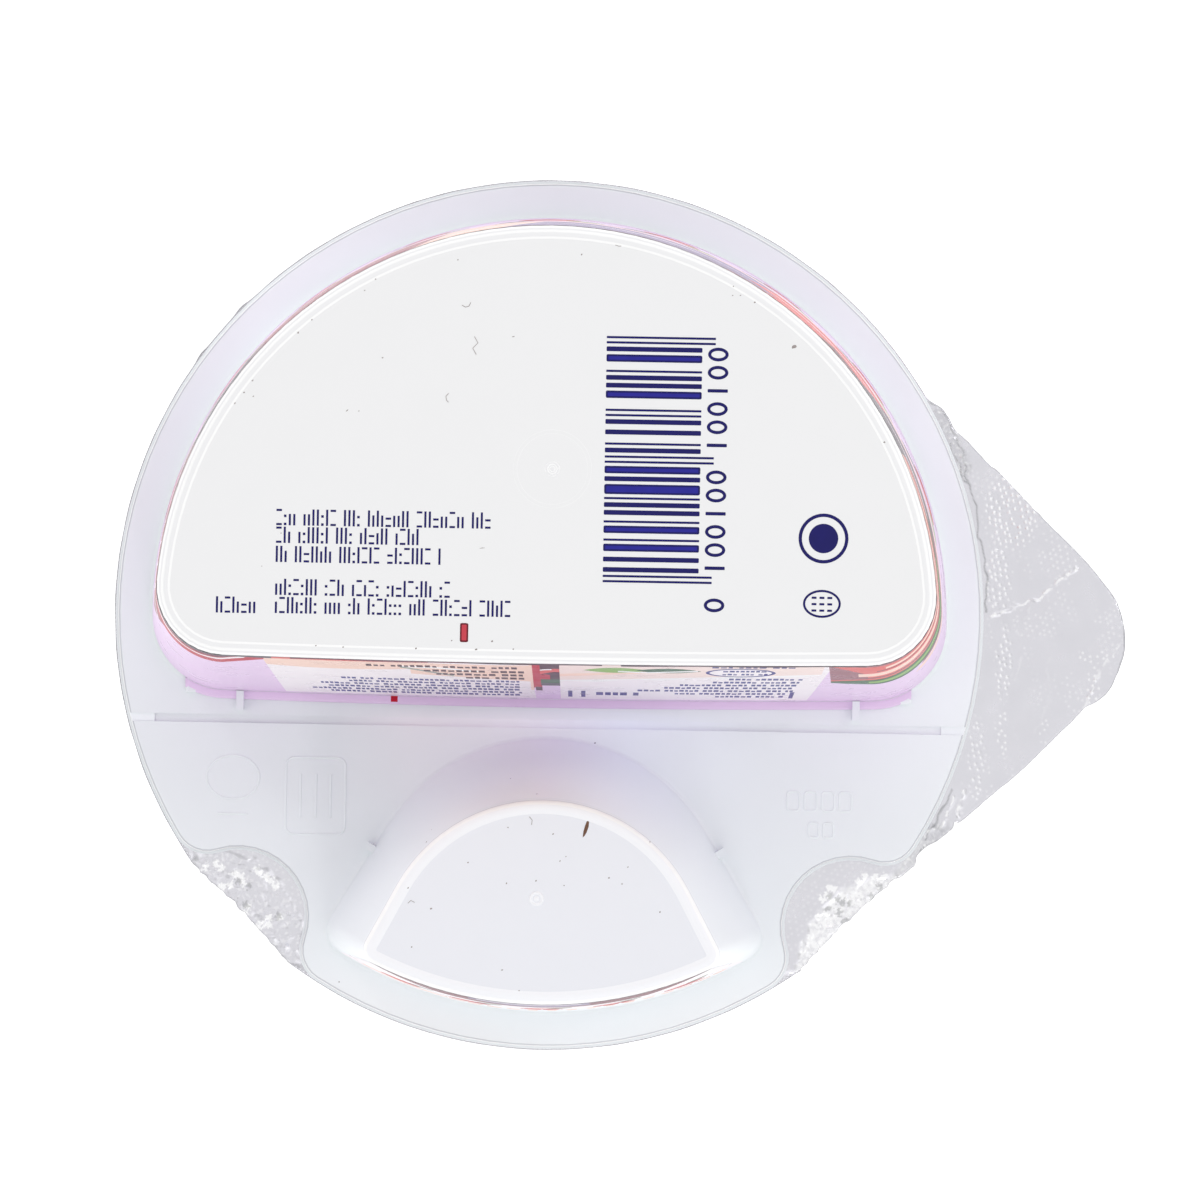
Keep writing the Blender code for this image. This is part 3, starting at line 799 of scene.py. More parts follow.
    # Right corner: a coral ribbon with a long leaf under it
    end = upright(29.0, 40.0)

    def right_low(u):
        return 26.5 + 0.30 * (u - end)

    def leaf_depth(u):
        return 6.5 * max(0.0, math.sin(math.pi * (u - end + 0.6) / 27.0)) ** 0.6

    paint("coral", strip(end, 62.0, right_low, top))
    paint("rose_brown", strip(end, end + 4.0, lambda u: right_low(u) + 1.5,
                              lambda u: top - 2.4 * (u - end)))
    for first, low, high, name in ((3.0, 4.4, 7.6, "peach"), (2.0, 2.0, 3.2, "rose_brown"),
                                   (6.0, 10.4, 12.2, "peach"), (5.0, 9.0, 9.7, "dark_red")):
        paint(name, strip(end + first, 62.0, lambda u: right_low(u) + low,
                          lambda u: min(top, right_low(u) + high)))
    paint("green", strip(end, end + 26.0, lambda u: right_low(u) - leaf_depth(u),
                         lambda u: right_low(u) + 0.5))
    paint("light_green", strip(end + 4.0, end + 21.0, lambda u: right_low(u) - 0.7 * leaf_depth(u),
                               lambda u: right_low(u) - 0.3 * leaf_depth(u)))

    # Round wall: berries with leaves
    for index in range(9):
        u = at_heading(22 + index * 17.2)
        z = 13.4 + 1.4 * math.sin(index * 2.2)
        size = 5.8 + 0.9 * math.cos(index * 1.7)
        for side, name in ((-1, "light_green"), (1, "green")):
            paint(name, leaf(u + side * size * 0.55, z + size * 0.62, size * 0.9, size * 0.36, side * 0.7))
        paint("red", ellipse((u, z), size, size))
        paint("coral", ellipse((u - size * 0.14, z + size * 0.16), size * 0.5, size * 0.42, 0.5))
        for _ in range(7):
            turn = draw.uniform(0, 2 * math.pi)
            reach = size * draw.uniform(0.1, 0.4)
            paint("dark_red", ellipse((u + reach * math.cos(turn), z + reach * math.sin(turn)),
                                      0.35, 0.55, turn, 8))

    # Thin dark line along the top edge, in lengths of different colour
    for left, right, name in ((-34.0, -29.0, "dark_grey"), (-27.0, -8.0, "dark_red"),
                              (-8.0, -3.0, "dark_grey"), (-3.0, 6.0, "brown"), (8.0, 34.0, "brown"),
                              (34.0, 46.0, "rose_brown"), (-50.0, -34.0, "dark_grey")):
        paint(name, strip(left, right, wave(42.9, 0.3, 13.0), top))
    return fields


# The sheet starts and ends at the left end of the straight wall, where its seam is
label_columns = []
for start, length, step in zip(ARC_STARTS, ARC_LENGTHS, COLUMN_STEPS):
    count = math.ceil(length / step)
    label_columns += [start + length * i / count for i in range(count)]
label_columns = label_columns[1:]
label_ground = strip(ARC_STARTS[0], ARC_STARTS[0] + WALL_LENGTH, FILM_LOW_Z, FILM_HIGH_Z, 1.0)


def shifted(fields):
    """Fields left of the sheet's start, moved to its far end; those across it are there twice."""
    made = []
    for name, outline in fields:
        if max(u for u, _ in outline) >= ARC_STARTS[0]:
            made.append((name, outline))
        if min(u for u, _ in outline) < ARC_STARTS[0]:
            made.append((name, [(u + WALL_LENGTH, v) for u, v in outline]))
    return made


wall_label = printed_sheet("wall_label", label_ground, shifted(label_fields()), label_columns, on_wall)
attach(wall_label, "root")

# Ledge film
# The foot of the label is folded over the low ledge at the foot of the straight wall, plain lilac
# but for one small register mark.
LEDGE_END = 39.62
LEDGE_BACK = -5.0
LEDGE_WIDTH = 0.9
LEDGE_TOP = 2.75
LEDGE_ROUND = 0.25
LEDGE_FOOT = 1.8
LEDGE_LIFT = 0.02
LEDGE_REACH = 48.0
LEDGE_STEPS = 400
REGISTER_MARK = (-16.7, -15.9)


def foot_place(along, outward):
    """Point of the wall's root outline moved outwards, in the plan."""
    here = wall_point(along, WALL_FOOT["z"])
    across = wall_point(along + 0.05, WALL_FOOT["z"]) - wall_point(along - 0.05, WALL_FOOT["z"])
    side = Vector((across.y, -across.x)).normalized()
    return Vector((here.x, here.y)) + side * outward


# Section of the film: distance from the wall and height
ledge_profile = ((0.0, LEDGE_TOP + LEDGE_LIFT), (LEDGE_WIDTH - LEDGE_ROUND, LEDGE_TOP + LEDGE_LIFT),
                 (LEDGE_WIDTH - LEDGE_ROUND * 0.35, LEDGE_TOP - LEDGE_ROUND * 0.3),
                 (LEDGE_WIDTH + LEDGE_LIFT, LEDGE_TOP - LEDGE_ROUND),
                 (LEDGE_WIDTH + LEDGE_LIFT, LEDGE_FOOT))
ledge_stations = [-LEDGE_REACH + 2 * LEDGE_REACH * i / LEDGE_STEPS for i in range(LEDGE_STEPS + 1)]
ledge_stations = [along for along in ledge_stations if foot_place(along, 0.0).y < LEDGE_BACK]
ledge_points = []
ledge_faces = []
ledge_inks = []
for along in ledge_stations:
    for outward, z in ledge_profile:
        spot = foot_place(along, outward)
        end = math.copysign(min(abs(spot.x), LEDGE_END), spot.x)
        ledge_points.append((end * MM, spot.y * MM, z * MM))
size = len(ledge_profile)
for i in range(len(ledge_stations) - 1):
    marked = REGISTER_MARK[0] < ledge_stations[i] < REGISTER_MARK[1]
    for k in range(size - 1):
        ledge_faces.append((i * size + k + 1, (i + 1) * size + k + 1, (i + 1) * size + k, i * size + k))
        ledge_inks.append(INK_NAMES.index("red") if marked and k == 0 else 0)
ledge_mesh = bpy.data.meshes.new("ledge_film")
ledge_mesh.from_pydata(ledge_points, [], ledge_faces)
ledge_film = add_object("ledge_film", ledge_mesh, *INKS.values())
ledge_mesh.polygons.foreach_set("material_index", ledge_inks)
ledge_mesh.shade_smooth()
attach(ledge_film, "root")

# Fruit compartment label
# The same kind of film covers the round outer wall of the fruit compartment, white with fruit and a
# dark line under the base.
FRUIT_ROUND = {"foot_radius": 43.35, "base_radius": 40.5, "foot_end": 31.3, "base_end": 25.7}
FRUIT_BASE_Z = 31.0
FRUIT_FILM_HIGH = 30.1
FRUIT_HALF = 22.0
FRUIT_COLUMNS = 60


def on_fruit_wall(along, z, lift=FILM_LIFT):
    """Point over the fruit compartment's round wall: along in mm from its middle, z in mm."""
    share = (z - FOOT_PLANE_Z) / (FRUIT_BASE_Z - FOOT_PLANE_Z)
    radius = FRUIT_ROUND["foot_radius"] + lift
    radius += (FRUIT_ROUND["base_radius"] - FRUIT_ROUND["foot_radius"]) * share
    end = FRUIT_ROUND["foot_end"] + (FRUIT_ROUND["base_end"] - FRUIT_ROUND["foot_end"]) * share
    angle = math.radians(end * along / FRUIT_HALF - 90.0)
    return Vector((radius * math.cos(angle), radius * math.sin(angle), z)) * MM


fruit_ground = strip(-FRUIT_HALF, FRUIT_HALF, FILM_LOW_Z, FRUIT_FILM_HIGH)
fruit_fields = [("pink_white", fruit_ground),
                ("peach", strip(-20.0, 20.0, wave(7.0, 1.0, 22.0), wave(10.0, 1.2, 22.0)))]
for index in range(5):
    place = -16.0 + 8.0 * index
    fruit_fields.append(("green", leaf(place + 2.0, 16.8, 4.4, 2.0, 0.8)))
    fruit_fields.append(("red", ellipse((place, 13.4), 4.8, 5.0)))
    fruit_fields.append(("coral", ellipse((place - 0.6, 14.5), 1.9, 1.9)))
fruit_fields += [("dark_red", strip(-21.5, 21.5, lambda u: 29.9 - 10.0 * min(1.0, (21.6 - abs(u)) / 9.0),
                                    30.0)),
                 ("violet_grey", strip(-9.0, 6.0, lambda u: 30.0 - 8.6 * math.cos(u * 0.12), 30.0)),
                 ("white", strip(-8.0, 5.0, 27.4, 28.6))]
fruit_columns = [-FRUIT_HALF + 2 * FRUIT_HALF * i / FRUIT_COLUMNS for i in range(1, FRUIT_COLUMNS)]
fruit_label = printed_sheet("fruit_label", fruit_ground, fruit_fields, fruit_columns, on_fruit_wall)
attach(fruit_label, "root")

# Base print
# Navy ink printed on the base of the main compartment: a block of bars with a column of plain
# figures, lines of small print, a ringed disc and an oval mark, all plain generic shapes.
BASE_INK_LIFT = 0.015 * MM
MODULE = 0.2642
BARS_LEFT = 5.7
BARS_RIGHT = 15.45
GUARDS_RIGHT = 16.8
BARS_LOW = 3.55
BAR_GAP = 0.02
CORE_INSET = 0.2
FIGURES_PER_HALF = 6
FIGURE_LEFT = 16.05
FIGURE_MIDDLE = 17.08
FIGURE_RIGHT = 18.1
FIGURE_STROKE = 0.34
FIRST_FIGURE = 1.4
SECOND_FIGURE = 5.18
FIGURE_STEP = 1.85
HALF_GAP = 1.4
# Lines of small print: left, right and low edge
PRINT_LINES = ((-27.6, -5.0, 8.8), (-27.6, -12.95, 7.0), (-27.6, -10.7, 5.05),
               (-27.6, -10.1, 1.7), (-27.6, -4.0, -0.15), (-33.6, -29.4, -0.2))
PRINT_HEIGHT = 1.65
DISC = (28.1, 8.4)
OVAL = (28.05, 1.75)
INK_FINISH = {"roughness": 0.45, "grain_scale": 3500.0, "cloud_scale": 700.0, "bump": 0.15,
              "specular": 0.25}
navy_ink = finished("navy_ink", srgb(22, 18, 104), srgb(14, 10, 84), **INK_FINISH)
navy_core = finished("navy_core", srgb(42, 40, 156), srgb(28, 26, 132), **INK_FINISH)
red_ink = finished("red_ink", srgb(214, 76, 88), srgb(190, 58, 72), **INK_FINISH)
edge_ink = finished("edge_ink", srgb(120, 30, 44), srgb(96, 20, 34), **INK_FINISH)


def flat_face(outline, lift):
    """Points and one face lying on the base panel, outline in mm."""
    return [(x * MM, y * MM, MAIN_PANEL + lift) for x, y in outline], [tuple(range(len(outline)))]


def ring_faces(outer, inner, lift):
    """Flat band between two outlines with as many points each."""
    count = len(outer)
    points = [(x * MM, y * MM, MAIN_PANEL + lift) for x, y in outer + inner]
    return points, [(i, (i + 1) % count, count + (i + 1) % count, count + i) for i in range(count)]


def box_outline(left, low, right, high):
    """Rectangle with slightly rounded corners, as ink leaves it."""
    return rounded_box(left, low, right, high, min(right - left, high - low) * 0.18, 2)


def bar_rows(draw):
    """Bars as (first module, modules, is a guard), from the low end to the high end."""
    rows = [(0, 1, True), (2, 1, True)]
    module = 3
    for half in range(2):
        for _ in range(FIGURES_PER_HALF):
            widths = [1, 1, 1, 1]
            for _ in range(3):
                widths[draw.randrange(4)] += 1
            for i, width in enumerate(widths):
                if i % 2 != half:
                    rows.append((module, width, False))
                module += width
        if half == 0:
            rows += [(module + 1, 1, True), (module + 3, 1, True)]
            module += 5
    rows += [(module, 1, True), (module + 2, 1, True)]
    return rows


def ticks(draw, left, right, low, height):
    """Outlines of a row of plain upright ticks, short dashes and dots, like a line of small print."""
    made = []
    stroke = height * 0.13
    x = left
    while x < right:
        for _ in range(draw.randint(3, 9)):
            if x > right:
                break
            kind = draw.random()
            if kind < 0.66:
                rise = height * draw.choice((0.7, 1.0, 1.0))
                made.append(strip(x, x + stroke, low, low + rise, 1.0))
                x += stroke * 2.1
            elif kind < 0.88:
                for middle in (low, low + height * draw.choice((0.45, 0.87))):
                    made.append(strip(x, x + stroke * 2.6, middle, middle + stroke, 1.0))
                x += stroke * 3.6
            else:
                for middle in (low, low + height * 0.5):
                    made.append(strip(x, x + stroke * 1.2, middle, middle + stroke * 1.2, 1.0))
                x += stroke * 2.3
        x += height * 0.36
    return made


print_draw = random.Random(8)
navy_parts = []
core_parts = []
for first, modules, guard in bar_rows(print_draw):
    low = BARS_LOW + first * MODULE + BAR_GAP
    high = BARS_LOW + (first + modules) * MODULE - BAR_GAP
    right = GUARDS_RIGHT if guard else BARS_RIGHT
    navy_parts.append(flat_face(box_outline(BARS_LEFT, low, right, high), BASE_INK_LIFT))
    if modules >= 3:
        core_parts.append(flat_face(box_outline(BARS_LEFT + CORE_INSET, low + CORE_INSET,
                                                right - CORE_INSET, high - CORE_INSET),
                                    BASE_INK_LIFT * 2))
figure_heights = [FIRST_FIGURE]
for i in range(2 * FIGURES_PER_HALF):
    figure_heights.append(SECOND_FIGURE + FIGURE_STEP * i + (HALF_GAP if i >= FIGURES_PER_HALF else 0.0))
for i, y in enumerate(figure_heights):
    if i % 3 == 1:
        navy_parts.append(flat_face(box_outline(FIGURE_LEFT, y - FIGURE_STROKE / 2, FIGURE_RIGHT,
                                                y + FIGURE_STROKE / 2), BASE_INK_LIFT))
    else:
        navy_parts.append(ring_faces(ellipse((FIGURE_MIDDLE, y), 2.1, 1.4, 0.0, 24),
                                     ellipse((FIGURE_MIDDLE, y), 1.45, 0.75, 0.0, 24), BASE_INK_LIFT))
for left, right, low in PRINT_LINES:
    navy_parts += [flat_face(outline, BASE_INK_LIFT)
                   for outline in ticks(print_draw, left, right, low, PRINT_HEIGHT)]
navy_parts.append(ring_faces(ellipse(DISC, 5.08, 5.08), ellipse(DISC, 4.4, 4.4), BASE_INK_LIFT))
navy_parts.append(flat_face(ellipse(DISC, 3.0, 3.0), BASE_INK_LIFT))
navy_parts.append(ring_faces(ellipse(OVAL, 3.85, 2.85), ellipse(OVAL, 3.4, 2.4), BASE_INK_LIFT))
for y in (0.95, 1.6, 2.25):
    for x in (27.0, 27.8, 28.6):
        navy_parts.append(flat_face(box_outline(x, y, x + 0.5, y + 0.22), BASE_INK_LIFT))
base_print = add_object("base_print", joined("base_print", navy_parts, False), navy_ink)
bar_cores = add_object("bar_cores", joined("bar_cores", core_parts, False), navy_core)
red_mark = add_object("base_red_mark", joined("base_red_mark", [
    flat_face(box_outline(-8.55, -2.6, -8.05, -1.0), BASE_INK_LIFT * 2)], False), red_ink)
red_edge = add_object("base_red_edge", joined("base_red_edge", [
    flat_face(box_outline(-8.72, -2.78, -7.88, -0.84), BASE_INK_LIFT)], False), edge_ink)
for piece in (base_print, bar_cores, red_mark, red_edge):
    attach(piece, "root")

# Dirt
# Crumbs and short fibres have settled on the plastic: thin brown and grey flakes, each lying flat,
# and one longer brown crumb at the edge of the fruit compartment's base.
SPECKS = (
    # Base of the main compartment: x, y, length, width, turn
    (24.78, 27.85, 0.62, 0.42, 0.5), (20.69, 32.31, 0.3, 0.24, 0.2), (19.22, 32.99, 0.26, 0.16, 0.1),
    (18.43, 32.97, 0.22, 0.16, 0.4), (18.50, 33.9, 0.24, 0.16, 0.9), (34.1, 18.3, 0.28, 0.22, 0.4),
    (-9.59, 36.11, 0.24, 0.18, 1.2), (2.98, 36.87, 0.28, 0.2, 0.6), (-3.83, 28.39, 0.44, 0.14, 0.2),
    (-6.63, 6.83, 0.95, 0.12, 0.1), (-17.93, 34.0, 0.24, 0.2, 0.0), (-24.34, 29.75, 0.28, 0.2, 0.7),
    (-25.72, 28.42, 0.32, 0.22, 1.0), (-17.09, 26.02, 0.26, 0.2, 0.5), (-30.27, 23.46, 0.32, 0.2, 0.7),
    (-31.13, 22.23, 0.3, 0.18, 0.3), (-30.16, 21.86, 0.24, 0.18, 0.5), (-32.02, 21.12, 0.28, 0.2, 0.9),
    (-20.59, 20.59, 0.5, 0.14, 0.8), (-19.02, 32.83, 0.2, 0.16, 0.2), (-19.39, 20.55, 0.2, 0.16, 0.6),
    (-23.35, -3.4, 0.26, 0.2, 0.4), (-20.58, -3.5, 0.3, 0.2, 0.3), (-13.17, -3.5, 0.36, 0.24, 0.8),
    (-7.05, -3.5, 0.42, 0.26, 0.4), (-3.26, -3.4, 0.28, 0.2, 0.1), (-5.44, -2.63, 0.3, 0.24, 0.3),
    (-9.55, -2.64, 0.26, 0.18, 0.9), (-27.1, 8.0, 0.2, 0.16, 0.3), (-29.0, 4.6, 0.18, 0.14, 0.3),
    # Base of the fruit compartment
    (-3.70, -22.12, 0.24, 0.18, 0.0), (1.00, -22.72, 0.28, 0.2, 0.5), (-7.81, -25.85, 0.26, 0.2, 0.2),
    (-0.69, -27.63, 0.3, 0.2, 0.8), (-3.76, -27.94, 0.26, 0.2, 1.2), (-11.58, -30.72, 0.34, 0.24, 0.3),
    (1.78, -25.52, 0.3, 0.16, 1.1), (2.39, -25.05, 0.24, 0.14, 0.6), (6.91, -27.20, 0.3, 0.2, 0.4),
    (8.28, -27.80, 0.24, 0.2, 0.2), (2.24, -28.06, 0.22, 0.18, 0.2), (8.87, -26.02, 0.26, 0.18, 0.7),
    (12.29, -30.65, 0.3, 0.2, 1.3), (-4.07, -36.98, 0.34, 0.18, 0.2), (-2.25, -39.1, 0.24, 0.2, 0.0),
    (-13.53, -34.75, 0.26, 0.2, 0.4), (-14.0, -28.6, 0.3, 0.2, 0.9),
    # Flap, flange and the rounded wall between them
    (5.20, -13.89, 0.3, 0.2, 0.4), (-22.33, -40.50, 0.26, 0.2, 0.2), (-12.24, -23.89, 0.3, 0.2, 0.8),
    (11.12, -23.39, 0.3, 0.2, 0.3), (-3.70, -17.39, 0.22, 0.18, 0.3), (-0.78, -18.70, 0.5, 0.14, 0.1))
FIBRES = (
    # Points of each short fibre
    ((-7.76, 28.32), (-7.40, 27.68), (-7.93, 27.14), (-7.55, 26.50)),
    ((-9.1, 31.5), (-8.73, 31.31), (-8.4, 31.4), (-8.2, 31.8)),
    ((-10.3, 22.5), (-10.57, 22.2), (-10.5, 21.8), (-10.3, 21.6)),
    ((6.4, 37.9), (6.73, 37.79), (7.0, 37.8)),
    ((-1.5, -20.95), (-1.2, -21.3), (-1.25, -21.8)),
    ((-14.0, -30.2), (-13.7, -29.9), (-13.3, -30.1)),
    ((-12.5, -23.6), (-12.1, -23.2), (-11.8, -22.7)))
# The crumb: x and y, then length, width and turn
CRUMB_PLACE = (4.45, -22.0)
CRUMB_SIZE = (2.4, 0.55, 1.32)
BEDDED = 0.02
FLAKE_CORNERS = 9
FIBRE_WIDTH = 0.07
FIBRE_HEIGHT = 0.04
DIRT_FINISH = {"roughness": 0.7, "grain_scale": 5000.0, "cloud_scale": 2200.0, "bump": 0.5}
grime = finished("grime", srgb(176, 168, 166), srgb(120, 110, 106), **DIRT_FINISH)
crumb_brown = finished("crumb_brown", srgb(128, 92, 68), srgb(84, 52, 38), **DIRT_FINISH)
surface = BVHTree.FromPolygons([corner.co for corner in pot.data.vertices],
                               [tuple(face.vertices) for face in pot.data.polygons])


def on_pot(x, y):
    """Place on the pot straight under a point, both in mm, and the direction that it faces."""
    place, facing, _, _ = surface.ray_cast(Vector((x * MM, y * MM, 1.0)), Vector((0.0, 0.0, -1.0)))
    return place, facing


def flake(draw, x, y, length, width, turn):
    """Thin irregular flake, domed in its middle, lying on the pot; sizes in mm."""
    centre, facing = on_pot(x, y)
    along = facing.cross(Vector((-math.sin(turn), math.cos(turn), 0.0))).normalized() * -1
    across = facing.cross(along)
    points = []
    for i in range(FLAKE_CORNERS):
        angle = 2 * math.pi * i / FLAKE_CORNERS
        reach = draw.uniform(0.7, 1.1)
        points.append(centre + (along * length / 2 * reach * math.cos(angle)
                                + across * width / 2 * reach * math.sin(angle) - facing * BEDDED) * MM)
    points.append(centre + facing * min(length, width) * 0.3 * MM)
    return points, [(i, (i + 1) % FLAKE_CORNERS, FLAKE_CORNERS) for i in range(FLAKE_CORNERS)]


def fibre(path):
    """Short fibre lying on the pot, as a thin bead along its points."""
    low = min(on_pot(x, y)[0].z for x, y in path)
    return raised_line(path, FIBRE_WIDTH, FIBRE_HEIGHT, low, False)


dirt_draw = random.Random(5)
flakes = [flake(dirt_draw, *speck) for speck in SPECKS]
flakes += [fibre(path) for path in FIBRES]
dirt = add_object("dirt", joined("dirt", flakes), grime)
crumb = add_object("brown_crumb", joined("brown_crumb", [flake(dirt_draw, *CRUMB_PLACE, *CRUMB_SIZE)]),
                   crumb_brown)
for piece in (dirt, crumb):
    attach(piece, "root")

# Foil lid
# The lid is lacquered aluminium foil, heat sealed under the flange and pressed down at its edge. Its
# pull tab is embossed with small dots and creased where it was bent; it is slack over the notches.
FOIL_SHEET = 0.04
FOIL_RADIUS = 47.66
SEAL_Z = 0.5
# Each notch: heading, distance and radius of its arc, where its crumpling starts, and the brightness of
# its painted highlights
NOTCHES = ((225.0, 47.4, 7.25, 41.5, 0.0), (315.0, 47.4, 7.25, 43.8, 0.75))
MOUTH = 8.9
# Edge of the torn tab, from the upper side round its tip and back along the lower side
TAB_UPPER = ((41.23, 24.18), (41.90, 23.81), (42.64, 23.29), (43.46, 22.13), (44.03, 21.05),
             (45.14, 20.11), (46.25, 19.01), (47.93, 17.28), (49.04, 16.42), (53.50, 11.90),
             (57.96, 7.60), (60.64, 4.58), (62.10, 2.52), (62.91, 0.01), (63.07, -2.72),
             (62.24, -5.48), (61.29, -7.36))
TAB_LOWER = ((59.88, -8.59), (58.80, -9.15), (57.40, -10.71), (56.11, -11.94), (54.49, -13.61),
             (51.80, -16.29), (48.56, -19.08), (46.19, -21.20), (45.28, -21.95), (44.78, -21.89),
             (44.57, -22.55), (44.03, -23.07), (43.17, -23.78), (42.41, -24.26), (41.68, -24.65),
             (40.74, -25.61), (40.48, -26.64), (40.05, -27.09), (39.40, -27.68), (38.7, -28.2))
# Raised creases: points, width, height and how much they shine
CREASES = (
    (((48.33, 0.75), (50.61, 1.66), (53.55, 2.81), (55.81, 4.82), (57.54, 6.16)), 0.3, 0.12, 0.9),
    (((62.95, -1.96), (61.43, -3.30), (59.84, -6.07), (59.11, -8.27), (58.80, -9.15)), 0.3, 0.07, 0.5),
    (((44.6, -19.1), (44.1, -20.4), (43.6, -21.6), (43.3, -22.8)), 0.3, 0.12, 0.9),
    (((45.8, -18.4), (45.4, -19.8), (45.0, -21.4)), 0.3, 0.10, 0.9),
    (((52.6, 1.6), (51.2, -0.6), (51.8, -3.8), (51.0, -6.8)), 0.3, 0.03, 0.15),
    (((55.4, -2.0), (54.6, -5.0), (55.0, -8.2), (53.4, -12.0)), 0.3, 0.02, 0.1),
)
# Tight folds that look dark: points and how dark
FOLDS = (
    (((41.23, 24.21), (41.68, 23.93), (42.64, 23.29), (43.47, 21.70), (43.70, 20.97), (44.07, 20.25),
      (44.83, 18.95), (45.23, 17.05), (45.55, 15.38)), 0.55),
    (((43.51, 19.51), (43.74, 18.63), (44.42, 17.47), (45.18, 15.73), (45.78, 14.87), (46.32, 13.28),
      (46.48, 12.55), (46.73, 10.80), (46.74, 9.78), (46.98, 9.05), (47.36, 7.60), (47.61, 6.13),
      (47.85, 4.68), (47.87, 3.80), (47.66, 2.92), (47.61, 2.05), (47.77, 1.17)), 0.6),
    (((44.27, -18.39), (43.92, -19.13), (43.36, -20.45), (42.94, -21.34), (42.51, -22.22), (41.95, -22.92),
      (41.53, -23.99)), 0.6),
    (((43.20, -23.76), (42.41, -24.20), (41.68, -24.60), (41.11, -25.10), (40.74, -25.55)), 0.8))
CRUMPLED = ((42.2, 22.6), (43.2, 20.9), (44.3, 18.6), (45.0, 16.6))
# Where the embossed dots show: x, y, half width, half height, strength
DOT_FIELDS = ((50.4, 12.4, 3.2, 4.6, 1.0), (49.1, 5.0, 1.6, 4.4, 0.85), (55.9, 7.2, 2.8, 2.0, 0.45),
              (49.8, -4.3, 1.0, 4.4, 0.8), (59.9, -3.5, 2.4, 0.8, 0.6), (59.7, -7.0, 0.8, 2.8, 0.7),
              (49.8, -12.0, 0.9, 2.8, 0.65), (47.0, -15.0, 1.0, 5.0, 0.65), (54.4, -11.8, 0.6, 1.8, 0.4),
              (53.6, -0.1, 2.4, 1.6, 0.35), (61.3, -0.1, 1.2, 1.8, 0.35), (44.9, 17.0, 0.5, 2.4, 0.5))
# Faces of the crumpled foil that catch the light, and those that look dark
GLINTS = ((-36.03, -27.87), (-35.54, -28.34), (-34.09, -28.93), (-33.85, -29.1), (-33.27, -29.26),
          (-32.98, -29.87), (-34.48, -30.17), (-35.58, -30.33), (-35.3, -30.5), (-31.64, -28.34),
          (-31.36, -28.82), (-30.53, -29.21), (-29.97, -29.61), (-29.42, -30.22), (-32.92, -33.16),
          (-31.26, -34.64), (-31.0, -34.4), (-30.18, -33.66), (-30.30, -34.48), (-28.94, -33.64),
          (-37.25, -28.30), (-32.53, -32.47), (35.02, -28.00), (36.12, -28.05), (37.08, -28.03),
          (31.07, -29.30), (31.70, -29.57), (34.42, -28.70), (30.95, -30.26), (30.41, -30.55),
          (32.60, -30.23), (33.96, -29.94), (29.90, -32.61), (31.51, -30.66), (31.66, -31.62),
          (30.99, -32.32), (31.27, -32.86), (30.60, -33.42), (29.25, -34.81), (30.36, -35.34),
          (29.54, -35.63), (34.53, -30.89), (33.43, -31.04))
DARK_SPOTS = ((-33.67, -29.75), (-32.43, -30.27), (-34.04, -32.22), (-32.80, -32.33), (-29.22, -33.50),
              (-38.37, -27.36), (31.23, -30.26), (32.06, -30.65), (33.30, -31.04), (32.61, -30.92),
              (32.35, -32.02), (32.92, -32.97), (36.69, -29.20), (31.11, -31.63), (35.89, -30.31))
GLINT_REACH = 0.42
DARK_REACH = 0.4
FOLD_LINE = 0.065
EDGE_START = 46.9
TABLE_GAP = 0.14
SLACK_HEIGHT = 0.36
DOT_PITCH = 0.72
DOT_RADIUS = 0.2
DOT_HEIGHT = 0.08
NOTCH_SLOPE = 0.13
STRIP_SLOPE = 0.14
DOT_TURN = math.radians(-14)
FOIL_PAINTED_HIGHLIGHT = (0.99, 0.99, 1.0)
FOIL_PAINTED_SHADE = (0.16, 0.17, 0.17)


def smoothstep(low, high, value):
    """0 below the low limit, 1 above the high one, and a soft rise between them."""
    share = min(1.0, max(0.0, (value - low) / (high - low)))
    return share * share * (3 - 2 * share)


def point_tree(places):
    """Lookup of the nearest of some places."""
    tree = kdtree.KDTree(len(places))
    for i, place in enumerate(places):
        tree.insert((place[0], place[1], 0.0), i)
    tree.balance()
    return tree


def line_tree(path, step=0.08):
    """Lookup of places along a path, to find how far a point is from it."""
    places = [(*path[0], 0.0)]
    for (ax, ay), (bx, by) in zip(path, path[1:]):
        count = max(1, round(math.hypot(bx - ax, by - ay) / step))
        places += [(ax + (bx - ax) * i / count, ay + (by - ay) * i / count, 0.0)
                   for i in range(1, count + 1)]
    return point_tree(places)


def distance_to(tree, x, y):
    """Distance to the nearest place in a lookup."""
    return tree.find((x, y, 0.0))[2]


def crumple(x, y, size, seed):
    """Soft folds: 0 on a fold, up to about 1 between folds."""
    return abs(noise.noise(Vector((x / size, y / size, seed)))) * 1.6


def facets(x, y, size, seed, slope):
    """Height of small faces at different tilts that meet in sharp folds."""
    column = math.floor(x / size)
    row = math.floor(y / size)
    best = math.inf
    for i in (column - 1, column, column + 1):
        for j in (row - 1, row, row + 1):
            cell = Vector((i + 0.5, j + 0.5, seed + 0.5))
            jitter = noise.cell_vector(cell)
            tilt = noise.cell_vector(cell + Vector((0.0, 0.0, 40.0)))
            dx = x - (i + jitter.x) * size
            dy = y - (j + jitter.y) * size
            best = min(best, ((tilt.x - 0.5) * dx + (tilt.y - 0.5) * dy) * 2 * slope
                       + (dx * dx + dy * dy) * slope / size)
    return best


def along_dots(x, y):
    """The place in the embossing's own directions."""
    return (x * math.cos(DOT_TURN) - y * math.sin(DOT_TURN),
            x * math.sin(DOT_TURN) + y * math.cos(DOT_TURN))


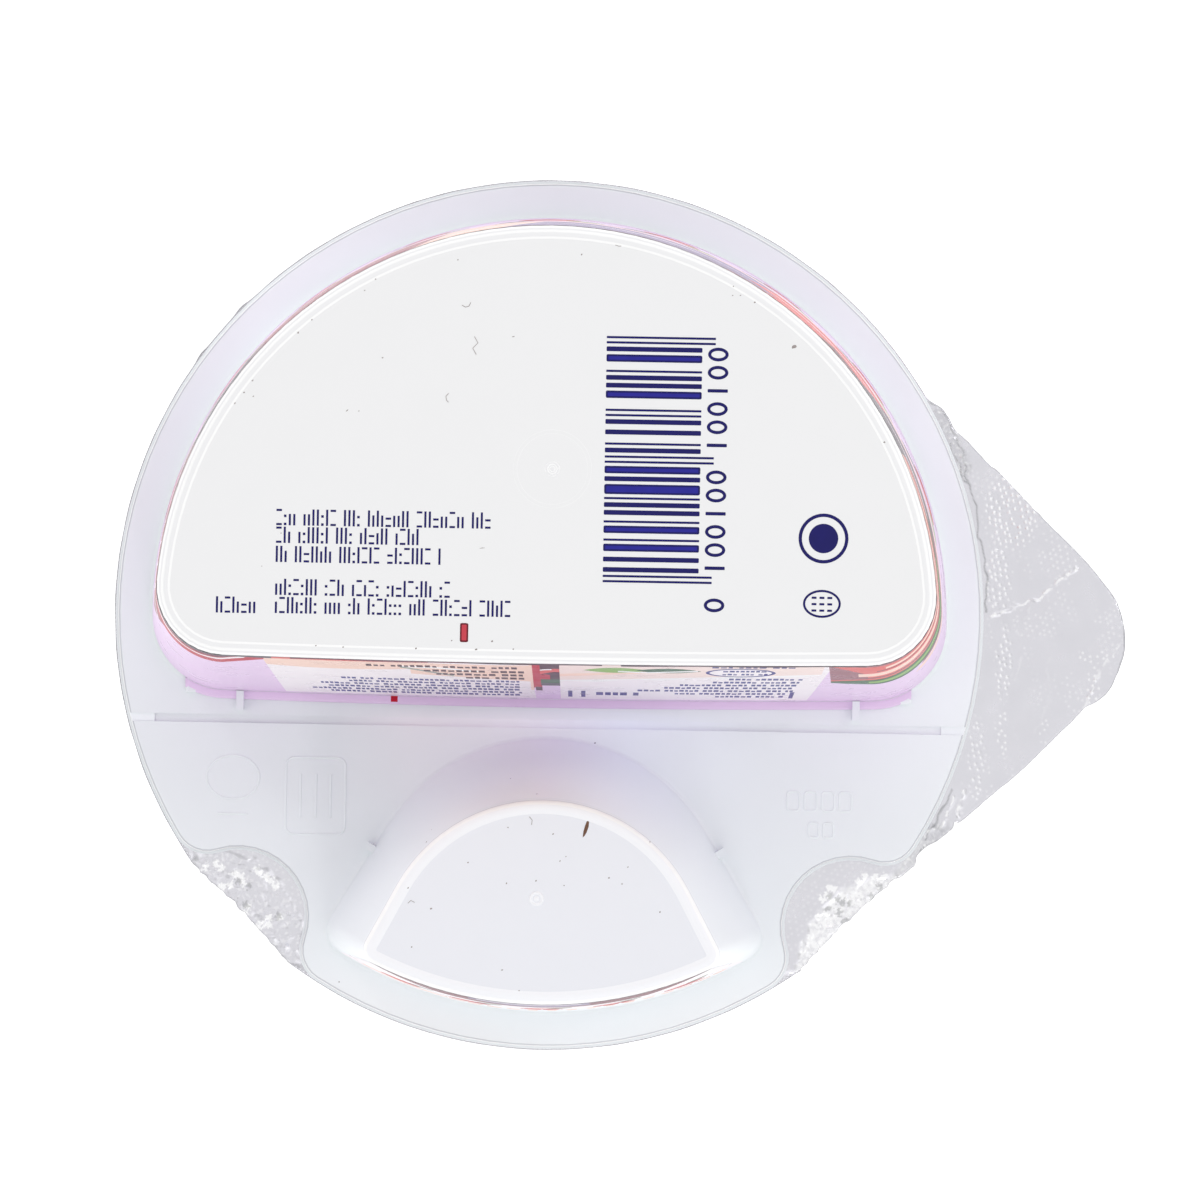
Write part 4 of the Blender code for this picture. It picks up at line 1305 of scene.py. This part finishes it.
def dots(x, y):
    """Height of the embossed dots, 0 to 1."""
    turned_x, turned_y = along_dots(x, y)
    row_height = DOT_PITCH * math.sqrt(3) / 2
    best = 0.0
    column = round(turned_x / row_height)
    for k in (column - 1, column, column + 1):
        shift = DOT_PITCH / 2 if k % 2 else 0.0
        row = round((turned_y - shift) / DOT_PITCH)
        cell = noise.cell_vector(Vector((row + 0.5, k + 0.5, 3.5)))
        centre_x = k * row_height + 0.3 * (cell.x - 0.5)
        centre_y = row * DOT_PITCH + shift + 0.3 * (cell.y - 0.5)
        reach = math.hypot(turned_x - centre_x, turned_y - centre_y) / DOT_RADIUS
        best = max(best, math.exp(-reach ** 2 * 1.4) * (1.0 if cell.z > 0.12 else 0.3))
    return best


def dot_strength(x, y):
    """How strongly the embossing shows here, 0 to 1: in fields, and faintly in slanting rows."""
    turned_x, turned_y = along_dots(x, y)
    best = 0.28 * smoothstep(-0.1, 0.35, noise.noise(Vector((turned_x * 0.55, turned_y * 0.16, 8.0))))
    for cx, cy, half_x, half_y, strength in DOT_FIELDS:
        reach = math.hypot((x - cx) / half_x, (y - cy) / half_y)
        best = max(best, strength * (1 - smoothstep(0.7, 1.15, reach)))
    return best


def jagged(x, y):
    """The place moved a little by noise, so that lines drawn through it are uneven."""
    place = Vector((x * 0.9, y * 0.9, 21.0))
    return x + 0.32 * noise.noise(place), y + 0.32 * noise.noise(place + Vector((7.0, 3.0, 0.0)))


crease_trees = [(line_tree(path), width, height, shine) for path, width, height, shine in CREASES]
fold_trees = [(line_tree(path), depth) for path, depth in FOLDS]
crumpled_tree = line_tree(CRUMPLED)
tab_tree = line_tree(TAB_UPPER + TAB_LOWER)
glint_tree = point_tree(GLINTS)
dark_tree = point_tree(DARK_SPOTS)


def spot_strength(tree, x, y, reach):
    """1 at marked places, with ragged outlines, 0 away from them."""
    ragged = 0.45 * noise.noise(Vector((x * 3.4, y * 3.4, 61.0)))
    return 1 - smoothstep(reach * 0.75, reach, distance_to(tree, x, y) + ragged)


def in_strip(x, y):
    """1 in the crumpled strips where the tab leaves the flange, 0 away from them."""
    strip_above = 1 - smoothstep(0.6, 1.1, distance_to(crumpled_tree, x, y))
    strip_below = smoothstep(-21.6, -22.6, y) * smoothstep(46.9, 47.4, math.hypot(x, y))
    return max(strip_above, strip_below if x > 38.0 else 0.0)


def notch_parts(x, y):
    """How far a point is inside a notch, 0 to 1, how crumpled it is, and how bright its faces are."""
    reach = math.hypot(x, y)
    for direction, distance, radius, smooth_reach, bright in NOTCHES:
        turn = math.radians(direction)
        dx = x - distance * math.cos(turn)
        dy = y - distance * math.sin(turn)
        away = math.hypot(dx, dy)
        if away < radius + 1.6:
            sideways = dx * math.sin(turn) - dy * math.cos(turn)
            ragged = 0.5 * noise.noise(Vector((x / 1.3, y / 1.3, 6.0)))
            start = smooth_reach + 0.06 * sideways ** 2 + ragged
            inside = 1 - smoothstep(radius, radius + 1.6, away)
            return inside, smoothstep(start - 0.3, start + 0.5, reach), bright
    return 0.0, 0.0, 0.0


def is_in_tab(x, y):
    """Whether a point lies on the tab's side of the lid."""
    return -37 < math.degrees(math.atan2(y, x)) < 31


def foil_height(x, y):
    """Height of the foil's upper face over the table, all in mm."""
    reach = math.hypot(x, y)
    z = TABLE_GAP + (SEAL_Z - TABLE_GAP) * smoothstep(30.0, 42.0, reach)
    in_notch, crumpled, _ = notch_parts(x, y)
    in_tab = smoothstep(EDGE_START, 47.5, reach) if is_in_tab(x, y) else 0.0
    if in_tab > 0:
        fall = SEAL_Z - 0.26 * smoothstep(0.0, 4.5, reach - 47.0)
        waves = 0.10 * noise.noise(Vector((x / 5.0, y / 5.0, 3.0)))
        folds = 0.03 * crumple(x, y, 3.4, 1.0)
        rough = in_strip(x, y)
        if rough > 0:
            folds += rough * facets(x, y, 0.9, 7.0, STRIP_SLOPE)
        spot = jagged(x, y)
        broken = 0.55 + 0.9 * noise.noise(Vector((x * 1.1, y * 1.1, 55.0)))
        bent = sum(height * broken * max(0.0, 1 - distance_to(tree, *spot) / width)
                   for tree, width, height, _ in crease_trees)
        embossed = DOT_HEIGHT * dot_strength(x, y) * dots(x, y)
        z += (fall + waves + folds + bent + embossed - z) * in_tab
    elif in_notch < 1:
        z += (0.08 - z) * smoothstep(EDGE_START, 47.6, reach) * (1 - in_notch)
    if in_notch > 0:
        slack = SLACK_HEIGHT + 0.10 * noise.noise(Vector((x / 3.0, y / 3.0, 12.0))) - 0.12 * crumpled
        if crumpled > 0:
            slack += crumpled * (facets(x, y, 0.95, 14.0, NOTCH_SLOPE) + 0.05 * crumple(x, y, 0.5, 17.0))
        z += (slack - z) * in_notch
    return max(z, FOIL_SHEET + 0.02)


def painted_fold_shade(x, y):
    """How much painted shade darkens the foil here, 0 to 1: along tight folds and at its bent down edge.
    """
    reach = math.hypot(x, y)
    shade = 0.0
    in_notch, _, _ = notch_parts(x, y)
    if is_in_tab(x, y) and reach > EDGE_START:
        spot = jagged(x, y)
        for tree, depth in fold_trees:
            line = distance_to(tree, *spot) / FOLD_LINE
            if line < 4:
                shade = max(shade, depth * math.exp(-line ** 2 * 0.5))
        edge = distance_to(lid_edge_tree, x, y)
        shade = max(shade, 0.16 * in_strip(x, y), 0.28 * (1 - smoothstep(0.0, 0.14, edge)))
    elif in_notch < 1 and reach > 47.2:
        heading = math.degrees(math.atan2(y, x)) % 360
        depth = 0.12 + 0.26 * smoothstep(80, 110, heading) * (1 - smoothstep(200, 225, heading))
        shade = depth * smoothstep(47.4, 47.55, reach) * (1 - in_notch)
    if in_notch > 0.3:
        shade = max(shade, 0.2 * (1 - smoothstep(0.05, 0.2, distance_to(lid_edge_tree, x, y))))
        shade = max(shade, 0.4 * spot_strength(dark_tree, x, y, DARK_REACH))
    return shade


def painted_foil_highlight(x, y):
    """How much painted highlight lightens the foil here, 0 to 1: on dots, creases and faces that catch the
    light.
    """
    in_notch, crumpled, bright = notch_parts(x, y)
    shine = 0.0
    if is_in_tab(x, y) and math.hypot(x, y) > 47.0:
        shine = 1.7 * dot_strength(x, y) * max(0.0, dots(x, y) - 0.2)
        spot = jagged(x, y)
        broken = smoothstep(-0.25, 0.1, noise.noise(Vector((x * 1.6, y * 1.6, 55.0))))
        for tree, width, _, bright_line in crease_trees:
            away = distance_to(tree, *spot)
            if away < width:
                shine = max(shine, bright_line * broken * (1 - smoothstep(0.06, 0.2, away)))
        fine = noise.noise(Vector((x / 0.35, y / 0.35, 7.0)))
        shine = max(shine, in_strip(x, y) * (max(0.0, 1.5 * fine - 0.1) + (0.3 if y < -24 else 0.0)))
    if in_notch > 0.3:
        fine = noise.noise(Vector((x / 0.4, y / 0.4, 33.0)))
        coarse = noise.noise(Vector((x / 0.9, y / 0.9, 71.0)))
        creased = crumpled * (bright * (0.55 + 0.45 * smoothstep(-0.2, 0.0, fine + 0.5 * coarse))
                              + 0.3 * smoothstep(0.22, 0.3, fine))
        faint = 0.35 * (1 - crumpled) * max(0.0, dots(x, y) - 0.2)
        shine = max(shine, creased, faint, 0.95 * spot_strength(glint_tree, x, y, GLINT_REACH))
    return min(1.0, shine)


def rounded(path, steps=5):
    """Smooth path through the same points."""
    made = []
    for i in range(len(path) - 1):
        before = Vector(path[max(i - 1, 0)])
        first = Vector(path[i])
        last = Vector(path[i + 1])
        after = Vector(path[min(i + 2, len(path) - 1)])
        curve = geometry.interpolate_bezier(first, first + (last - before) / 6,
                                            last - (after - first) / 6, last, steps + 1)
        made += [(place.x, place.y) for place in curve[:-1]]
    return made + [path[-1]]


def foil_outline():
    """Edge of the lid: round, cut across both notches, with the tab as it was torn and bent."""
    made = []

    def add_arc(start, end, step=0.6):
        count = max(1, round((end - start) / step))
        for i in range(count):
            angle = math.radians(start + (end - start) * i / count)
            wobble = 0.05 * noise.noise(Vector((angle * 14.0, 2.0, 0.0)))
            for bulge in (136.0, 144.3):
                wobble += 0.18 * math.exp(-(math.degrees(angle) - bulge) ** 2 / 1.2)
            made.append(((FOIL_RADIUS + wobble) * math.cos(angle),
                         (FOIL_RADIUS + wobble) * math.sin(angle)))

    def add_path(path, step=0.22, wobble=0.05):
        for (ax, ay), (bx, by) in zip(path, path[1:]):
            count = max(1, round(math.hypot(bx - ax, by - ay) / step))
            for i in range(count):
                share = i / count
                x = ax + (bx - ax) * share
                y = ay + (by - ay) * share
                made.append((x + wobble * noise.noise(Vector((x * 1.3, y * 1.3, 5.0))),
                             y + wobble * noise.noise(Vector((x * 1.3, y * 1.3, 8.0)))))

    start = math.degrees(math.atan2(TAB_UPPER[0][1], TAB_UPPER[0][0])) + 1.0
    add_arc(start, 225.0 - MOUTH)
    for direction in (225.0, 315.0):
        ends = [(FOIL_RADIUS * math.cos(math.radians(direction + side * MOUTH)),
                 FOIL_RADIUS * math.sin(math.radians(direction + side * MOUTH))) for side in (-1, 1)]
        inner = (direction - 1.5, 46.75)
        middle = (inner[1] * math.cos(math.radians(inner[0])), inner[1] * math.sin(math.radians(inner[0])))
        add_path((ends[0], middle, ends[1]), 0.2, 0.22)
        if direction == 225.0:
            add_arc(direction + MOUTH, 315.0 - MOUTH)
    add_path(rounded(tuple(reversed(TAB_UPPER + TAB_LOWER))))
    made.append(TAB_UPPER[0])
    return made


def is_inside(outline, x, y):
    """Whether a point lies inside a closed outline."""
    inside = False
    for (ax, ay), (bx, by) in zip(outline, outline[1:] + outline[:1]):
        if (ay > y) != (by > y) and x < ax + (y - ay) / (by - ay) * (bx - ax):
            inside = not inside
    return inside


def foil_points():
    """Points inside the lid: close together where the foil shows, far apart under the pot."""
    made = []
    for radius in range(0, 46, 3):
        count = max(1, round(2 * math.pi * radius / 3.0))
        made += [(radius * math.cos(2 * math.pi * i / count), radius * math.sin(2 * math.pi * i / count))
                 for i in range(count)]
    for k, radius in enumerate((46.2, 46.6, 46.9, 47.1, 47.3, 47.45)):
        made += [(radius * math.cos(math.radians(i * 0.6 + 0.3 * (k % 2))),
                  radius * math.sin(math.radians(i * 0.6 + 0.3 * (k % 2)))) for i in range(600)]

    def lattice(left, low, right, high, pitch, keep):
        row_height = pitch * math.sqrt(3) / 2
        for row in range(int((high - low) / row_height)):
            for column in range(int((right - left) / pitch)):
                x = left + (column + 0.5 * (row % 2)) * pitch
                y = low + row * row_height
                if keep(x, y):
                    made.append((x, y))

    tab = TAB_UPPER + TAB_LOWER + ((30.0, -20.0), (30.0, 20.0))

    def in_tab(x, y):
        return math.hypot(x, y) > 46.8 and is_inside(tab, x, y) and distance_to(tab_tree, x, y) > 0.1

    lattice(38.0, -28.5, 63.4, 24.3, 0.155, in_tab)
    for direction, distance, radius, _, _ in NOTCHES:
        cx = distance * math.cos(math.radians(direction))
        cy = distance * math.sin(math.radians(direction))
        lattice(cx - 7.8, cy - 7.8, cx + 7.8, cy + 7.8, 0.17,
                lambda x, y: math.hypot(x - cx, y - cy) < 7.6 and math.hypot(x, y) < 47.0)
    return made


foil_edge = foil_outline()
flat, _, cut, _, _, owners = geometry.delaunay_2d_cdt(
    [Vector(place) for place in foil_edge + foil_points()], [], [list(range(len(foil_edge)))], 1, 1e-4)
used = sorted({i for corners, owner in zip(cut, owners) if owner for i in corners})
index = {old: new for new, old in enumerate(used)}
lid_mesh = mesh_from("foil_lid_sheet", [(flat[i].x * MM, flat[i].y * MM,
                                         foil_height(flat[i].x, flat[i].y) * MM) for i in used],
                     [tuple(index[i] for i in corners) for corners, owner in zip(cut, owners) if owner])
lid_edge_tree = line_tree(foil_outline())
for name, measure in (("painted_fold_shade", painted_fold_shade), ("painted_foil_highlight", painted_foil_highlight)):
    layer = lid_mesh.attributes.new(name, "FLOAT", "POINT")
    layer.data.foreach_set("value", [measure(flat[i].x, flat[i].y) for i in used])
foil = finished("lid_foil", (0.77, 0.765, 0.81), (0.70, 0.695, 0.74), roughness=0.24, grain_scale=1800.0,
                cloud_scale=300.0, bump=0.12, metallic=1.0)
tree = foil.node_tree
shader = tree.nodes["Principled BSDF"]
colour = shader.inputs["Base Color"].links[0].from_socket
# Painted highlights and painted shade from the two attributes, mixed into the foil's colour
for name, other in (("painted_foil_highlight", FOIL_PAINTED_HIGHLIGHT), ("painted_fold_shade", FOIL_PAINTED_SHADE)):
    layer = add_node(tree, "ShaderNodeAttribute", attribute_name=name)
    colour = blended(tree, layer.outputs["Fac"], colour, other)
tree.links.new(colour, shader.inputs["Base Color"])
lid = add_object("lid_sheet", lid_mesh, foil)
thickness = lid.modifiers.new("sheet", "SOLIDIFY")
thickness.thickness = FOIL_SHEET * MM
thickness.offset = -1.0
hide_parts("foil_lid")
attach(lid, "root")

low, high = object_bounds()
